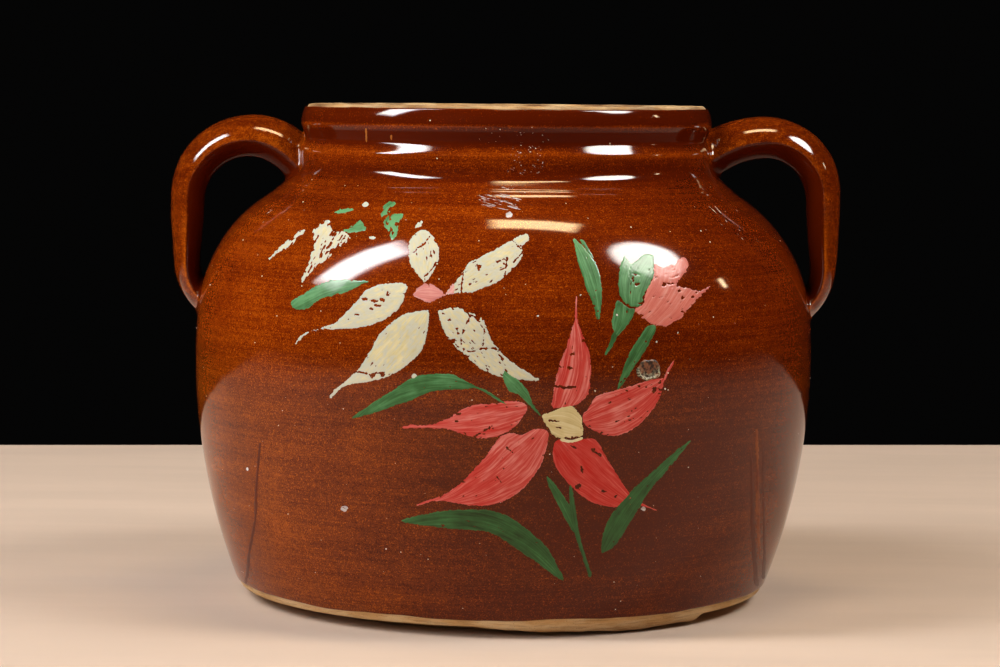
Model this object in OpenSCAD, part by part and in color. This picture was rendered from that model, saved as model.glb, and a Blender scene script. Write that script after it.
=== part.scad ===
// Two-handled stoneware cookie jar with a brown glaze, open at the top.
// The jar stands on the table at z = 0 with its axis on Z. The handles lie along X
// and the painted front faces -Y. All sizes are in millimetres.

/* [Body] */
// Widest diameter of the belly, over the glaze
belly_d = 216; // [204:1:240]
// Height of the widest diameter above the table
belly_h = 83.5; // [76:0.5:92]
// Diameter of the lower edge of the wall
base_d = 185; // [170:1:194]
// Height above the belly at which the shoulder starts to round over
shoulder_rise = 15; // [10:0.5:20]
// Radius of the shoulder's curve
shoulder_arc_r = 54.5; // [48:0.5:60]
// Thickness of the fired clay wall
clay_t = 6; // [5:0.25:8]
// Thickness of the clay floor
floor_t = 7; // [5:0.5:10]
// Radius inside where the wall meets the floor
floor_fillet_r = 9; // [5:0.5:14]
// Rounding of the lower edge of the wall
base_edge_r = 1.5; // [0.8:0.1:3]

/* [Foot] */
// Height of the foot ring, which holds the wall's edge off the table
foot_h = 3.5; // [2.5:0.25:5]
// Distance of the foot ring in from the wall's lower edge
foot_inset = 16; // [12:0.5:20]
// Width of the foot ring where it stands on the table
foot_ring_w = 5.5; // [4:0.5:9]
// Slope of each side of the foot ring, as a widening towards the floor
foot_draft = 0.8; // [0.4:0.1:1.5]

/* [Neck] */
// Diameter of the neck at its narrowest, over the glaze
neck_d = 140.4; // [134:0.2:146]
// Height of the upright bore, up to the rim
neck_h = 19.6; // [19:0.2:26]
// Radius of the curve inside between the shoulder and the bore, over the glaze
cove_arc_r = 9; // [6:0.25:12]
// Radius of the hollow outside between the shoulder and the bead
hollow_arc_r = 26; // [22:1:30]
// How far the bead's roll would stand out of the neck if it ran full
bead_out = 2.3; // [1.8:0.1:2.6]
// Radius of the bead's roll
bead_roll_r = 5; // [4:0.25:7]
// Height of the middle of that roll above the lower end of the bore
bead_rise = 1.8; // [1:0.1:2.4]
// Slope of the bead's face, away from upright
bead_face_a = 29; // [25:1:33]
// Radius of the groove above the bead's face
groove_r = 1; // [0.6:0.1:1.6]
// How far the collar at the rim stands out of the neck
collar_out = 1.8; // [1.2:0.1:2.4]
// Radius of the collar's roll
collar_roll_r = 13; // [11:0.5:18]
// Height of the collar
collar_h = 7.2; // [6.4:0.2:8.4]
// Depth below the rim at which the collar is widest
collar_peak = 7; // [5:0.2:8]
// Rounding of both edges of the lip
lip_round = 1.4; // [0.8:0.1:2]

/* [Glaze] */
// Thickness of the glaze, outside and inside
glaze_t = 0.6; // [0.4:0.05:0.9]
// Height of the bare clay band above the wall's lower edge
foot_bare = 2.4; // [1.8:0.1:5]
// Height of the bare clay at the lip, down from the rim
rim_bare = 1.5; // [1.4:0.1:3]

/* [Handles] */
// How far the middle of the upright leg stands outside the belly
leg_standoff = 3.4; // [2.5:0.1:6]
// Depth of the middle of the handle's top below the rim
handle_drop = 11.6; // [10:0.2:14]
// Angle at which the handle rises out of the neck
root_rise_a = 36; // [28:1:42]
// Radius of the curve that levels the handle off above its root
root_arc_r = 26; // [22:1:30]
// Distance outside the neck at which that curve starts
root_out = 4.2; // [3:0.2:7]
// How far the handle's ends run on into the clay before they are cut to fit it
end_sink = 5; // [4:0.5:7]
// Height above the belly at which the leg starts to turn in
land_rise = 32; // [29:0.5:36]
// Radius of the turn that brings the leg into the wall
land_arc_r = 18; // [14:1:24]
// Angle of that turn
land_a = 48; // [42:1:54]
// Lean of the leg away from the jar
leg_lean_a = 0.8; // [0:0.1:3]
// Thickness at the neck, seen from the front
root_t = 16.5; // [14:0.5:19]
// Thickness at the bend, seen from the front
bend_t = 14.8; // [12:0.2:16]
// Thickness of the leg, seen from the front
leg_t = 11.4; // [9:0.2:13]
// Thickness at the lower end, seen from the front
end_t = 9; // [7.5:0.25:11]
// Width at the neck, from front to back
root_w = 28; // [22:0.5:32]
// Width at the bend, from front to back
bend_w = 26; // [20:0.5:30]
// Width of the leg, from front to back
leg_w = 24.5; // [18:0.5:28]
// Width at the lower end, from front to back
end_w = 27; // [20:0.5:31]
// Share of the thickness that lies outside the handle's widest line
outer_share = 0.58; // [0.5:0.01:0.65]
// Roundness of the handle's front and back edges, where 2 is an ellipse
edge_power = 1.4; // [1.2:0.1:2]
// Share of the last turn over which the thickness runs down to the lower end's
end_share = 0.7; // [0.5:0.05:1]

/* [Quality] */
// Longest straight step on a curve of the wall
arc_step = 3; // [1.5:0.25:5]
// Largest turn between two steps on a curve of the wall
arc_step_a = 12; // [6:1:18]
// Number of sections along a handle
handle_steps = 46; // [24:1:60]
// Number of corners in each section
handle_sides = 28; // [16:4:36]

/* [Hidden] */
$fn = 96;
// One name for each solid of the jar

clay_colour = [0.80, 0.63, 0.42];
glaze_colour = [0.42, 0.16, 0.04];
lining_colour = [0.36, 0.14, 0.05];

belly_r = belly_d / 2;
base_r = base_d / 2;
neck_r = neck_d / 2;
reach = belly_r + leg_standoff;

// The belly's curve stands upright at the belly and runs through the lower edge
belly_arc_r = (pow(belly_h - foot_h, 2) + pow(belly_r - base_r, 2))
            / (2 * (belly_r - base_r));
belly_c = [belly_r - belly_arc_r, belly_h];
// The shoulder's curve runs on smoothly from the belly's
shoulder_a = asin(shoulder_rise / belly_arc_r);
shoulder_c = belly_c + (belly_arc_r - shoulder_arc_r) * direction(shoulder_a);
// The curve inside touches both the shoulder's curve and the bore
cove_c = [neck_r + cove_arc_r,
          shoulder_c.y + sqrt(pow(shoulder_arc_r + cove_arc_r, 2)
                              - pow(neck_r + cove_arc_r - shoulder_c.x, 2))];
rim_z = cove_c.y + neck_h;
cove_a = atan2(cove_c.y - shoulder_c.y, cove_c.x - shoulder_c.x);
collar_c = [neck_r + collar_out - collar_roll_r, rim_z - collar_peak];
bead_c = [neck_r + bead_out - bead_roll_r, cove_c.y + bead_rise];
// The groove touches the bead's face and is the narrowest part of the neck
groove_c = [neck_r + groove_r,
            bead_c.y + (bead_roll_r + groove_r - (neck_r + groove_r - bead_c.x) * cos(bead_face_a))
                       / sin(bead_face_a)];
// The hollow touches both the shoulder's curve and the bead's roll
hollow_c = touching(shoulder_c, shoulder_arc_r + hollow_arc_r, bead_c, bead_roll_r + hollow_arc_r);
hollow_low_a = angle(hollow_c - shoulder_c);
hollow_high_a = angle(hollow_c - bead_c);
floor_z = foot_h + floor_t;
// Insets of the four skins, measured in from the outside of the glaze
clay_inset = glaze_t;
lining_inset = glaze_t + clay_t;
hollow_inset = lining_inset + glaze_t;

// A step along the handle's middle line is [length, turn]
bend_r = reach - (neck_r + root_out + root_arc_r * sin(root_rise_a));
root_run = (root_out + end_sink) / cos(root_rise_a);
root_arc = [arc_length(root_arc_r, root_rise_a), -root_rise_a];
bend_arc = [arc_length(bend_r, 90 - leg_lean_a), leg_lean_a - 90];
leg_run = rim_z - handle_drop - bend_r - belly_h - land_rise;
land_arc = [arc_length(land_arc_r, land_a), -land_a];
handle_path = [[root_run, 0], root_arc, bend_arc, [leg_run, 0], land_arc, [end_sink, 0]];
handle_start = [neck_r - end_sink,
                rim_z - handle_drop - root_arc_r * (1 - cos(root_rise_a))
                - root_run * sin(root_rise_a)];
handle_length = path_length(handle_path);
// Distances along the handle at which its named sections stand
bend_at = root_run + root_arc[0] + bend_arc[0] / 2;
leg_at = root_run + root_arc[0] + bend_arc[0] + leg_run / 2;
root_at = root_run;
land_at = leg_at + leg_run / 2 + land_arc[0] * end_share;

// Point one unit away from the origin in a plane
function direction(a) = [cos(a), sin(a)];

// Angle of a direction in a plane
function angle(v) = atan2(v.y, v.x);

// Point at one distance from a and another from b, on the right of the way from a to b
function touching(a, ra, b, rb) =
    let (d = norm(b - a), u = (b - a) / d, run = (ra * ra - rb * rb + d * d) / (2 * d))
    a + run * u + sqrt(ra * ra - run * run) * [u.y, -u.x];

// Length of an arc
function arc_length(r, a) = PI * r * a / 180;

// Length of the steps of a path from step i on
function path_length(path, i = 0) =
    i == len(path) ? 0 : path[i][0] + path_length(path, i + 1);

// Where a step of a given length and turn ends, as [point, heading]
function stepped(p, h, l, turn) =
    turn == 0 ? [p + l * direction(h), h]
    : let (r = l * 180 / (PI * turn), c = p + r * direction(h + 90))
      [c + r * direction(h + turn - 90), h + turn];

// Point and heading at a distance along a path
function along(path, s, p, h, i = 0) =
    let (l = path[i][0], turn = path[i][1])
    (s <= l || i == len(path) - 1) ? stepped(p, h, s, turn * s / l)
    : let (next = stepped(p, h, l, turn)) along(path, s - l, next[0], next[1], i + 1);

// Value with the sign kept, raised to a power
function signed_pow(v, e) = sign(v) * pow(abs(v), e);

// Section of thickness and width 1 at an angle, as [outwards, sideways]
function unit_section(a) =
    let (depth = cos(a) > 0 ? outer_share : 1 - outer_share)
    [0.5 - outer_share + depth * signed_pow(cos(a), 2 / edge_power), sin(a) / 2];

// Section of the handle at a distance along it, as points in space
function handle_section(s) =
    let (at = along(handle_path, s, handle_start, root_rise_a),
         across = direction(at[1] + 90),
         t = lookup(s, [[root_at, root_t], [bend_at, bend_t], [leg_at, leg_t], [land_at, end_t]]),
         w = lookup(s, [[root_at, root_w], [bend_at, bend_w], [leg_at, leg_w], [land_at, end_w]]))
    [for (k = [0:handle_sides - 1])
        let (unit = unit_section(360 * k / handle_sides),
             q = at[0] + t * unit.x * across)
        [q.x, w * unit.y, q.y]];

// Points on an arc, closer than either step apart
function arc(c, r, from_a, to_a) =
    let (n = max(ceil(abs(to_a - from_a) / arc_step_a),
                 ceil(arc_length(r, abs(to_a - from_a)) / arc_step)))
    [for (i = [0:n]) c + r * direction(from_a + (to_a - from_a) * i / n)];

// The same points from last to first
function backwards(points) = [for (i = [len(points) - 1:-1:0]) points[i]];

// Angle at which a height lies on the belly's curve
function belly_a(inset, z) = asin((z - belly_h) / (belly_arc_r - inset));

// Rounded corner at a flat bottom, then the belly's curve up to the shoulder
function bowl(inset, bottom_z, corner_r) =
    let (r = belly_arc_r - inset,
         a = asin((bottom_z + corner_r - belly_h) / (r - corner_r)),
         c = belly_c + (r - corner_r) * direction(a))
    concat(arc(c, corner_r, -90, a), arc(belly_c, r, a, shoulder_a));

// Inside of the shoulder, and the curve above it that ends on the upright bore
function shoulder_inside(inset) =
    concat(arc(shoulder_c, shoulder_arc_r - inset, shoulder_a, cove_a),
           arc(cove_c, cove_arc_r + inset, cove_a + 180, 180));

// Outside of the shoulder, the hollow above it, the bead, and the groove where the neck starts
function shoulder_outside(inset) =
    concat(arc(shoulder_c, shoulder_arc_r - inset, shoulder_a, hollow_low_a),
           arc(hollow_c, hollow_arc_r + inset, hollow_low_a + 180, hollow_high_a + 180),
           arc(bead_c, bead_roll_r - inset, hollow_high_a, bead_face_a),
           arc(groove_c, groove_r + inset, 180 + bead_face_a, 180));

// Curve of the collar from its lower edge, to which the neck leans out, up to a given angle
function collar(inset, to_a) =
    let (r = collar_roll_r - inset)
    arc(collar_c, r, asin((collar_peak - collar_h) / r), to_a);

// Outside of the jar from its flat bottom to the top of the lip
function outside(inset) =
    let (r = collar_roll_r - inset - lip_round,
         a = asin((collar_peak - lip_round) / r))
    concat(bowl(inset, foot_h, base_edge_r), shoulder_outside(inset), collar(inset, a),
           arc(collar_c + r * direction(a), lip_round, a, 90));

// Outside of the jar between the two edges of the glaze
function glazed_outside(inset) =
    let (foot_a = belly_a(inset, foot_h + foot_bare),
         rim_a = asin((collar_peak - rim_bare) / (collar_roll_r - inset)))
    concat(arc(belly_c, belly_arc_r - inset, foot_a, shoulder_a), shoulder_outside(inset),
           collar(inset, rim_a));

// Inside of the jar from the middle of its floor to the upright bore
function inside(inset, bottom_z) =
    concat([[0, bottom_z]], bowl(inset, bottom_z, floor_fillet_r), shoulder_inside(inset));

// Rounded inner edge of the lip, from its top down to the bore
function lip_inside() =
    let (r = neck_r - lining_inset + lip_round)
    arc([r, rim_z - lip_round], lip_round, 90, 180);

// Ring the jar stands on, from the middle of the jar outwards
function foot() =
    let (outer_r = base_r - foot_inset, inner_r = outer_r - foot_ring_w)
    [[0, foot_h], [inner_r - foot_draft, foot_h], [inner_r, 0],
     [outer_r, 0], [outer_r + foot_draft, foot_h]];

// Handle along +X before its ends are cut to the wall
module handle_bar() {
    n = handle_sides;
    points = [for (i = [0:handle_steps])
                  each handle_section(handle_length * i / handle_steps)];
    sides = [for (i = [0:handle_steps - 1], k = [0:n - 1])
                 let (a = i * n + k, b = i * n + (k + 1) % n)
                 each [[a, b, b + n], [a, b + n, a + n]]];
    first = [for (k = [n - 1:-1:0]) k];
    last = [for (k = [0:n - 1]) handle_steps * n + k];
    polyhedron(points, concat(sides, [first, last]));
}

// Handle along +X, cut to sit on the clay wall
module handle() {
    difference() {
        handle_bar();
        rotate_extrude() polygon(concat([[0, foot_h]], outside(clay_inset), [[0, rim_z]]));
    }
}

module jar_body() {
    color(clay_colour) rotate_extrude()
        polygon(concat(foot(), outside(clay_inset), lip_inside(),
                       backwards(inside(lining_inset, floor_z))));
}

module outer_glaze() {
    color(glaze_colour) difference() {
        rotate_extrude()
            polygon(concat(glazed_outside(0), backwards(glazed_outside(clay_inset))));
        handle_bar();
        mirror([1, 0, 0]) handle_bar();
    }
}

module inner_glaze() {
    glaze_top_z = rim_z - rim_bare;
    color(lining_colour) rotate_extrude()
        polygon(concat(inside(lining_inset, floor_z), [[neck_r - lining_inset, glaze_top_z]],
                       [[neck_r - hollow_inset, glaze_top_z]],
                       backwards(inside(hollow_inset, floor_z + glaze_t))));
}

module left_handle() {
    color(glaze_colour) mirror([1, 0, 0]) handle();
}

module right_handle() {
    color(glaze_colour) handle();
}

jar_body();
outer_glaze();
inner_glaze();
left_handle();
right_handle();
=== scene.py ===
"""Looks of a two-handled stoneware cookie jar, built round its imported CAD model.

Lengths are in millimetres until a mesh is written, which is in metres. The jar stands on z = 0 with its
axis on Z, its handles along X and its painted front facing -Y, as in the CAD model.
"""
import logging
import math
from dataclasses import dataclass
from enum import Enum

import bpy
import numpy as np
from mathutils import Matrix, Vector


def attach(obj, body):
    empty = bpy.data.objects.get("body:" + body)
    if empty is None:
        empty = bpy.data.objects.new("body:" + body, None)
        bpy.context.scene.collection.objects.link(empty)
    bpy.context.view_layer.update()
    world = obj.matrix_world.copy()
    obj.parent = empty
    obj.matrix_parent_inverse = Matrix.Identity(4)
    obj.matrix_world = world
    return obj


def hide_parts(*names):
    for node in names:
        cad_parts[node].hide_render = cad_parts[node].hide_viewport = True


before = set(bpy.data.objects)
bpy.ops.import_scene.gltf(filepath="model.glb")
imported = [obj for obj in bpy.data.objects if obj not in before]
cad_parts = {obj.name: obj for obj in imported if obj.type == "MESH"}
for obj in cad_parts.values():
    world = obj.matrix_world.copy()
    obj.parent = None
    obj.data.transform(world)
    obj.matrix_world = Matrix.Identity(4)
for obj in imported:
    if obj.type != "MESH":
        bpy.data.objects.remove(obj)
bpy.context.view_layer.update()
BODY = "root"
MM = 0.001
GLAZE_IOR = 1.3
DIP_SLOPE = 0.005
DIP_EDGE_X = 72.0
DIP_FROM_Z = 125.0
DIP_TO_Z = 155.0
ARC_STEP = 0.25
ARC_LEAST = 8
POOL_BY_CURVE = 3.6
ROLL_STEPS = np.array([0.0, 0.03, 0.10, 0.22, 0.40, 0.65])  # rows of a rolled edge, as shares of its width
LOG = logging.getLogger("cookie_jar")

Point = tuple[float, float]
Colour = tuple[float, float, float]
Face = tuple[int, ...]
Triple = tuple[float, float, float]


class LatticeNoise:
    """Smooth seeded noise between about -1 and 1, the same on each run."""

    SIZE = 32
    LAYER_SHIFT = 7.3

    def __init__(self, seed: int) -> None:
        """Fill the lattice with values from a seed."""
        self.values = np.random.default_rng(seed).uniform(-1.0, 1.0, (self.SIZE,) * 3)

    def at(self, points: np.ndarray) -> np.ndarray:
        """Read the noise at points.

        Args:
            points: Points in lattice steps, one row each.

        Returns:
            One value for each point.
        """
        cell = np.floor(points).astype(int)
        t = points - cell
        t = t * t * (3.0 - 2.0 * t)
        total = np.zeros(len(points))
        for corner in np.ndindex(2, 2, 2):
            weight = np.prod(np.where(corner, t, 1.0 - t), axis=1)
            i, j, k = ((cell + corner) % self.SIZE).T
            total += weight * self.values[i, j, k]
        return total

    def layered(self, points: np.ndarray, layers: int = 3) -> np.ndarray:
        """Sum the noise at halving scales and strengths.

        Args:
            points: Points in lattice steps of the coarsest layer.
            layers: Number of layers.

        Returns:
            One value for each point.
        """
        return sum(self.at(points * 2.0**i + self.LAYER_SHIFT * i) * 0.5**i for i in range(layers))


@dataclass(frozen=True)
class Ripple:
    """A gentle unevenness: its depth, its steps of noise to the millimetre, its own place and its layers."""

    depth: float
    steps: Triple | float
    shift: float = 0.0
    layers: int = 1

    def at(self, noise: LatticeNoise, points: np.ndarray, further: float = 0.0) -> np.ndarray:
        """Read the unevenness.

        Args:
            noise: The noise that it is made of.
            points: Where it is read.
            further: Shift on top of its own.

        Returns:
            One height for each point.
        """
        return self.depth * noise.layered(points * self.steps + self.shift + further, self.layers)


def direction(angle: float) -> np.ndarray:
    """Point one unit from the origin at an angle in radians."""
    return np.array([math.cos(angle), math.sin(angle)])


def arc(centre: np.ndarray, radius: float, start: float, end: float) -> np.ndarray:
    """Draw an arc in the section plane.

    Args:
        centre: Middle of the arc, as radius and height.
        radius: Radius of the arc.
        start: First angle in radians.
        end: Last angle in radians.

    Returns:
        Points about one step apart.
    """
    count = max(ARC_LEAST, int(abs(end - start) * radius / ARC_STEP))
    angles = np.linspace(start, end, count + 1)
    return centre + radius * np.column_stack([np.cos(angles), np.sin(angles)])


def touching(a: np.ndarray, ra: float, b: np.ndarray, rb: float) -> np.ndarray:
    """Find the point at one distance from a and another from b, on the right of the way from a to b.

    Args:
        a: First point.
        ra: Distance from it.
        b: Second point.
        rb: Distance from it.

    Returns:
        The point.
    """
    d = float(np.linalg.norm(b - a))
    u = (b - a) / d
    run = (ra**2 - rb**2 + d**2) / (2 * d)
    return a + run * u + math.sqrt(ra**2 - run**2) * np.array([u[1], -u[0]])


def blurred(values: np.ndarray, width: float) -> np.ndarray:
    """Blur rows of values along their order, with the ends kept.

    Args:
        values: Values at even steps, one row each.
        width: Standard width of the blur, in steps.

    Returns:
        The blurred rows.
    """
    reach = max(1, int(3 * width))
    kernel = np.exp(-0.5 * (np.arange(-reach, reach + 1) / width) ** 2)
    kernel /= kernel.sum()
    columns = values.reshape(len(values), -1)
    padded = np.pad(columns, ((reach, reach), (0, 0)), mode="reflect", reflect_type="odd")
    mixed = [np.convolve(column, kernel, mode="valid") for column in padded.T]
    return np.column_stack(mixed).reshape(values.shape)


class SectionLine:
    """A line of the jar's section, at even steps from its first point to its last."""

    STEP = 0.2
    CURVE_BLUR = 0.7

    def __init__(self, points: np.ndarray, blur: float = 0.0) -> None:
        """Space the points evenly.

        Args:
            points: Radius and height of each point.
            blur: Width in millimetres over which corners are softened.
        """
        run = np.concatenate([[0.0], np.cumsum(np.hypot(*np.diff(points, axis=0).T))])
        keep = np.concatenate([[True], np.diff(run) > 1e-9])
        run, points = run[keep], points[keep]
        self.s = np.linspace(0.0, run[-1], int(run[-1] / self.STEP) + 2)
        line = np.column_stack([np.interp(self.s, run, points[:, i]) for i in (0, 1)])
        if blur:
            line = blurred(line, blur / self.STEP)
        self.r, self.z = line.T
        slope = np.gradient(line, self.s, axis=0)
        slope /= np.hypot(*slope.T)[:, None]
        self.normal = np.column_stack([slope[:, 1], -slope[:, 0]])
        turn = np.unwrap(np.arctan2(slope[:, 1], slope[:, 0]))
        self.curve = blurred(np.gradient(turn, self.s), self.CURVE_BLUR / self.STEP)

    @property
    def length(self) -> float:
        """Length of the line."""
        return float(self.s[-1])

    def read(self, values: np.ndarray, s: np.ndarray) -> np.ndarray:
        """Read values of the line at distances along it."""
        return np.interp(s, self.s, values)


@dataclass(frozen=True)
class JarShape:
    """Sizes of the jar, with the names that the part's source gives them."""

    belly_d: float = 216.0
    belly_h: float = 83.5
    base_d: float = 185.0
    shoulder_rise: float = 15.0
    shoulder_arc_r: float = 54.5
    clay_t: float = 6.0
    floor_t: float = 7.0
    floor_fillet_r: float = 9.0
    base_edge_r: float = 1.5
    foot_h: float = 3.5
    foot_inset: float = 16.0
    foot_ring_w: float = 5.5
    foot_draft: float = 0.8
    neck_d: float = 140.4
    neck_h: float = 19.6
    cove_arc_r: float = 9.0
    hollow_arc_r: float = 26.0
    bead_out: float = 2.3
    bead_roll_r: float = 5.0
    bead_rise: float = 1.8
    bead_face_a: float = math.radians(29.0)
    groove_r: float = 1.0
    collar_out: float = 1.8
    collar_roll_r: float = 13.0
    collar_h: float = 7.2
    collar_peak: float = 7.0
    lip_round: float = 1.4
    glaze_t: float = 0.6
    foot_bare: float = 2.4
    rim_bare: float = 1.5
    skin: float = 0.25  # room for relief and paint inside the solid's box

    @property
    def neck_r(self) -> float:
        """Radius of the plain neck wall."""
        return self.neck_d / 2

    @property
    def belly_arc_r(self) -> float:
        """Radius of the belly's curve, which runs through the wall's lower edge.

        Returns:
            The radius.
        """
        rise = self.belly_h - self.foot_h
        swell = (self.belly_d - self.base_d) / 2
        return (rise**2 + swell**2) / (2 * swell)

    @property
    def belly_c(self) -> np.ndarray:
        """Middle of the belly's curve."""
        return np.array([self.belly_d / 2 - self.belly_arc_r, self.belly_h])

    @property
    def shoulder_a(self) -> float:
        """Angle at which the belly hands over to the shoulder."""
        return math.asin(self.shoulder_rise / self.belly_arc_r)

    @property
    def shoulder_c(self) -> np.ndarray:
        """Middle of the shoulder's curve."""
        return self.belly_c + (self.belly_arc_r - self.shoulder_arc_r) * direction(self.shoulder_a)

    @property
    def cove_c(self) -> np.ndarray:
        """Middle of the curve inside between the shoulder and the bore.

        Returns:
            Its radius and height.
        """
        r = self.neck_r + self.cove_arc_r
        reach = self.shoulder_arc_r + self.cove_arc_r
        return np.array([r, self.shoulder_c[1] + math.sqrt(reach**2 - (r - self.shoulder_c[0]) ** 2)])

    @property
    def cove_a(self) -> float:
        """Angle at which the inside of the shoulder hands over to that curve."""
        away = self.cove_c - self.shoulder_c
        return math.atan2(away[1], away[0])

    @property
    def rim_z(self) -> float:
        """Height of the rim."""
        return self.cove_c[1] + self.neck_h

    @property
    def lining_inset(self) -> float:
        """Depth of the lining's back below the outside of the jar."""
        return self.glaze_t + self.clay_t

    def bowl(self, inset: float, bottom_z: float, corner_r: float) -> np.ndarray:
        """Draw a rounded corner at a flat bottom, then the belly's curve.

        Args:
            inset: Depth below the outside of the jar.
            bottom_z: Height of the flat bottom.
            corner_r: Radius of the corner.

        Returns:
            Points up to the shoulder.
        """
        r = self.belly_arc_r - inset
        a = math.asin((bottom_z + corner_r - self.belly_h) / (r - corner_r))
        c = self.belly_c + (r - corner_r) * direction(a)
        return np.vstack([arc(c, corner_r, -math.pi / 2, a), arc(self.belly_c, r, a, self.shoulder_a)])

    def shoulder_inside(self, inset: float) -> np.ndarray:
        """Draw the inside of the shoulder, and the curve above it that ends on the upright bore."""
        return np.vstack([
            arc(self.shoulder_c, self.shoulder_arc_r - inset, self.shoulder_a, self.cove_a),
            arc(self.cove_c, self.cove_arc_r + inset, self.cove_a + math.pi, math.pi),
        ])

    def shoulder_outside(self, inset: float) -> np.ndarray:
        """Draw the outside of the shoulder, the hollow above it, the bead and its groove.

        Args:
            inset: Depth below the outside of the jar.

        Returns:
            Points up to the neck.
        """
        face, roll, hollow = self.bead_face_a, self.bead_roll_r, self.hollow_arc_r
        bead_c = np.array([self.neck_r + self.bead_out - roll, self.cove_c[1] + self.bead_rise])
        groove_x = self.neck_r + self.groove_r
        rise = roll + self.groove_r - (groove_x - bead_c[0]) * math.cos(face)
        groove_c = np.array([groove_x, bead_c[1] + rise / math.sin(face)])
        hollow_c = touching(self.shoulder_c, self.shoulder_arc_r + hollow, bead_c, roll + hollow)
        low, high = (math.atan2(*(hollow_c - c)[::-1]) for c in (self.shoulder_c, bead_c))
        return np.vstack([
            arc(self.shoulder_c, self.shoulder_arc_r - inset, self.shoulder_a, low),
            arc(hollow_c, hollow + inset, low + math.pi, high + math.pi),
            arc(bead_c, roll - inset, high, face),
            arc(groove_c, self.groove_r + inset, math.pi + face, math.pi),
        ])

    def collar(self, inset: float) -> np.ndarray:
        """Draw the collar's curve from its lower edge, and the lip's rounded edge.

        Args:
            inset: Depth below the outside of the jar.

        Returns:
            Points up to the top of the lip.
        """
        r = self.collar_roll_r - inset
        c = np.array([self.neck_r + self.collar_out - self.collar_roll_r, self.rim_z - self.collar_peak])
        top = math.asin((self.collar_peak - self.lip_round) / (r - self.lip_round))
        return np.vstack([
            arc(c, r, math.asin((self.collar_peak - self.collar_h) / r), top),
            arc(c + (r - self.lip_round) * direction(top), self.lip_round, top, math.pi / 2),
        ])

    def outside(self, inset: float) -> np.ndarray:
        """Draw the outside from the flat bottom to the top of the lip."""
        return np.vstack([
            self.bowl(inset, self.foot_h, self.base_edge_r),
            self.shoulder_outside(inset),
            self.collar(inset),
        ])

    def inside(self, inset: float, bottom_z: float) -> np.ndarray:
        """Draw the inside from the middle of the floor to the upright bore."""
        return np.vstack([
            [[0.0, bottom_z]],
            self.bowl(inset, bottom_z, self.floor_fillet_r),
            self.shoulder_inside(inset),
        ])

    def lip_inside(self) -> np.ndarray:
        """Draw the rounded inner edge of the lip, from its top down to the bore."""
        r = self.neck_r - self.lining_inset + self.lip_round
        return arc(np.array([r, self.rim_z - self.lip_round]), self.lip_round, math.pi / 2, math.pi)

    def foot(self) -> np.ndarray:
        """Draw the ring that the jar stands on, from the middle outwards.

        Returns:
            Corners of the section.
        """
        outer = self.base_d / 2 - self.foot_inset
        inner = outer - self.foot_ring_w
        return np.array([
            [0.0, self.foot_h],
            [inner - self.foot_draft, self.foot_h],
            [inner, 0.0],
            [outer, 0.0],
            [outer + self.foot_draft, self.foot_h],
        ])


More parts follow.
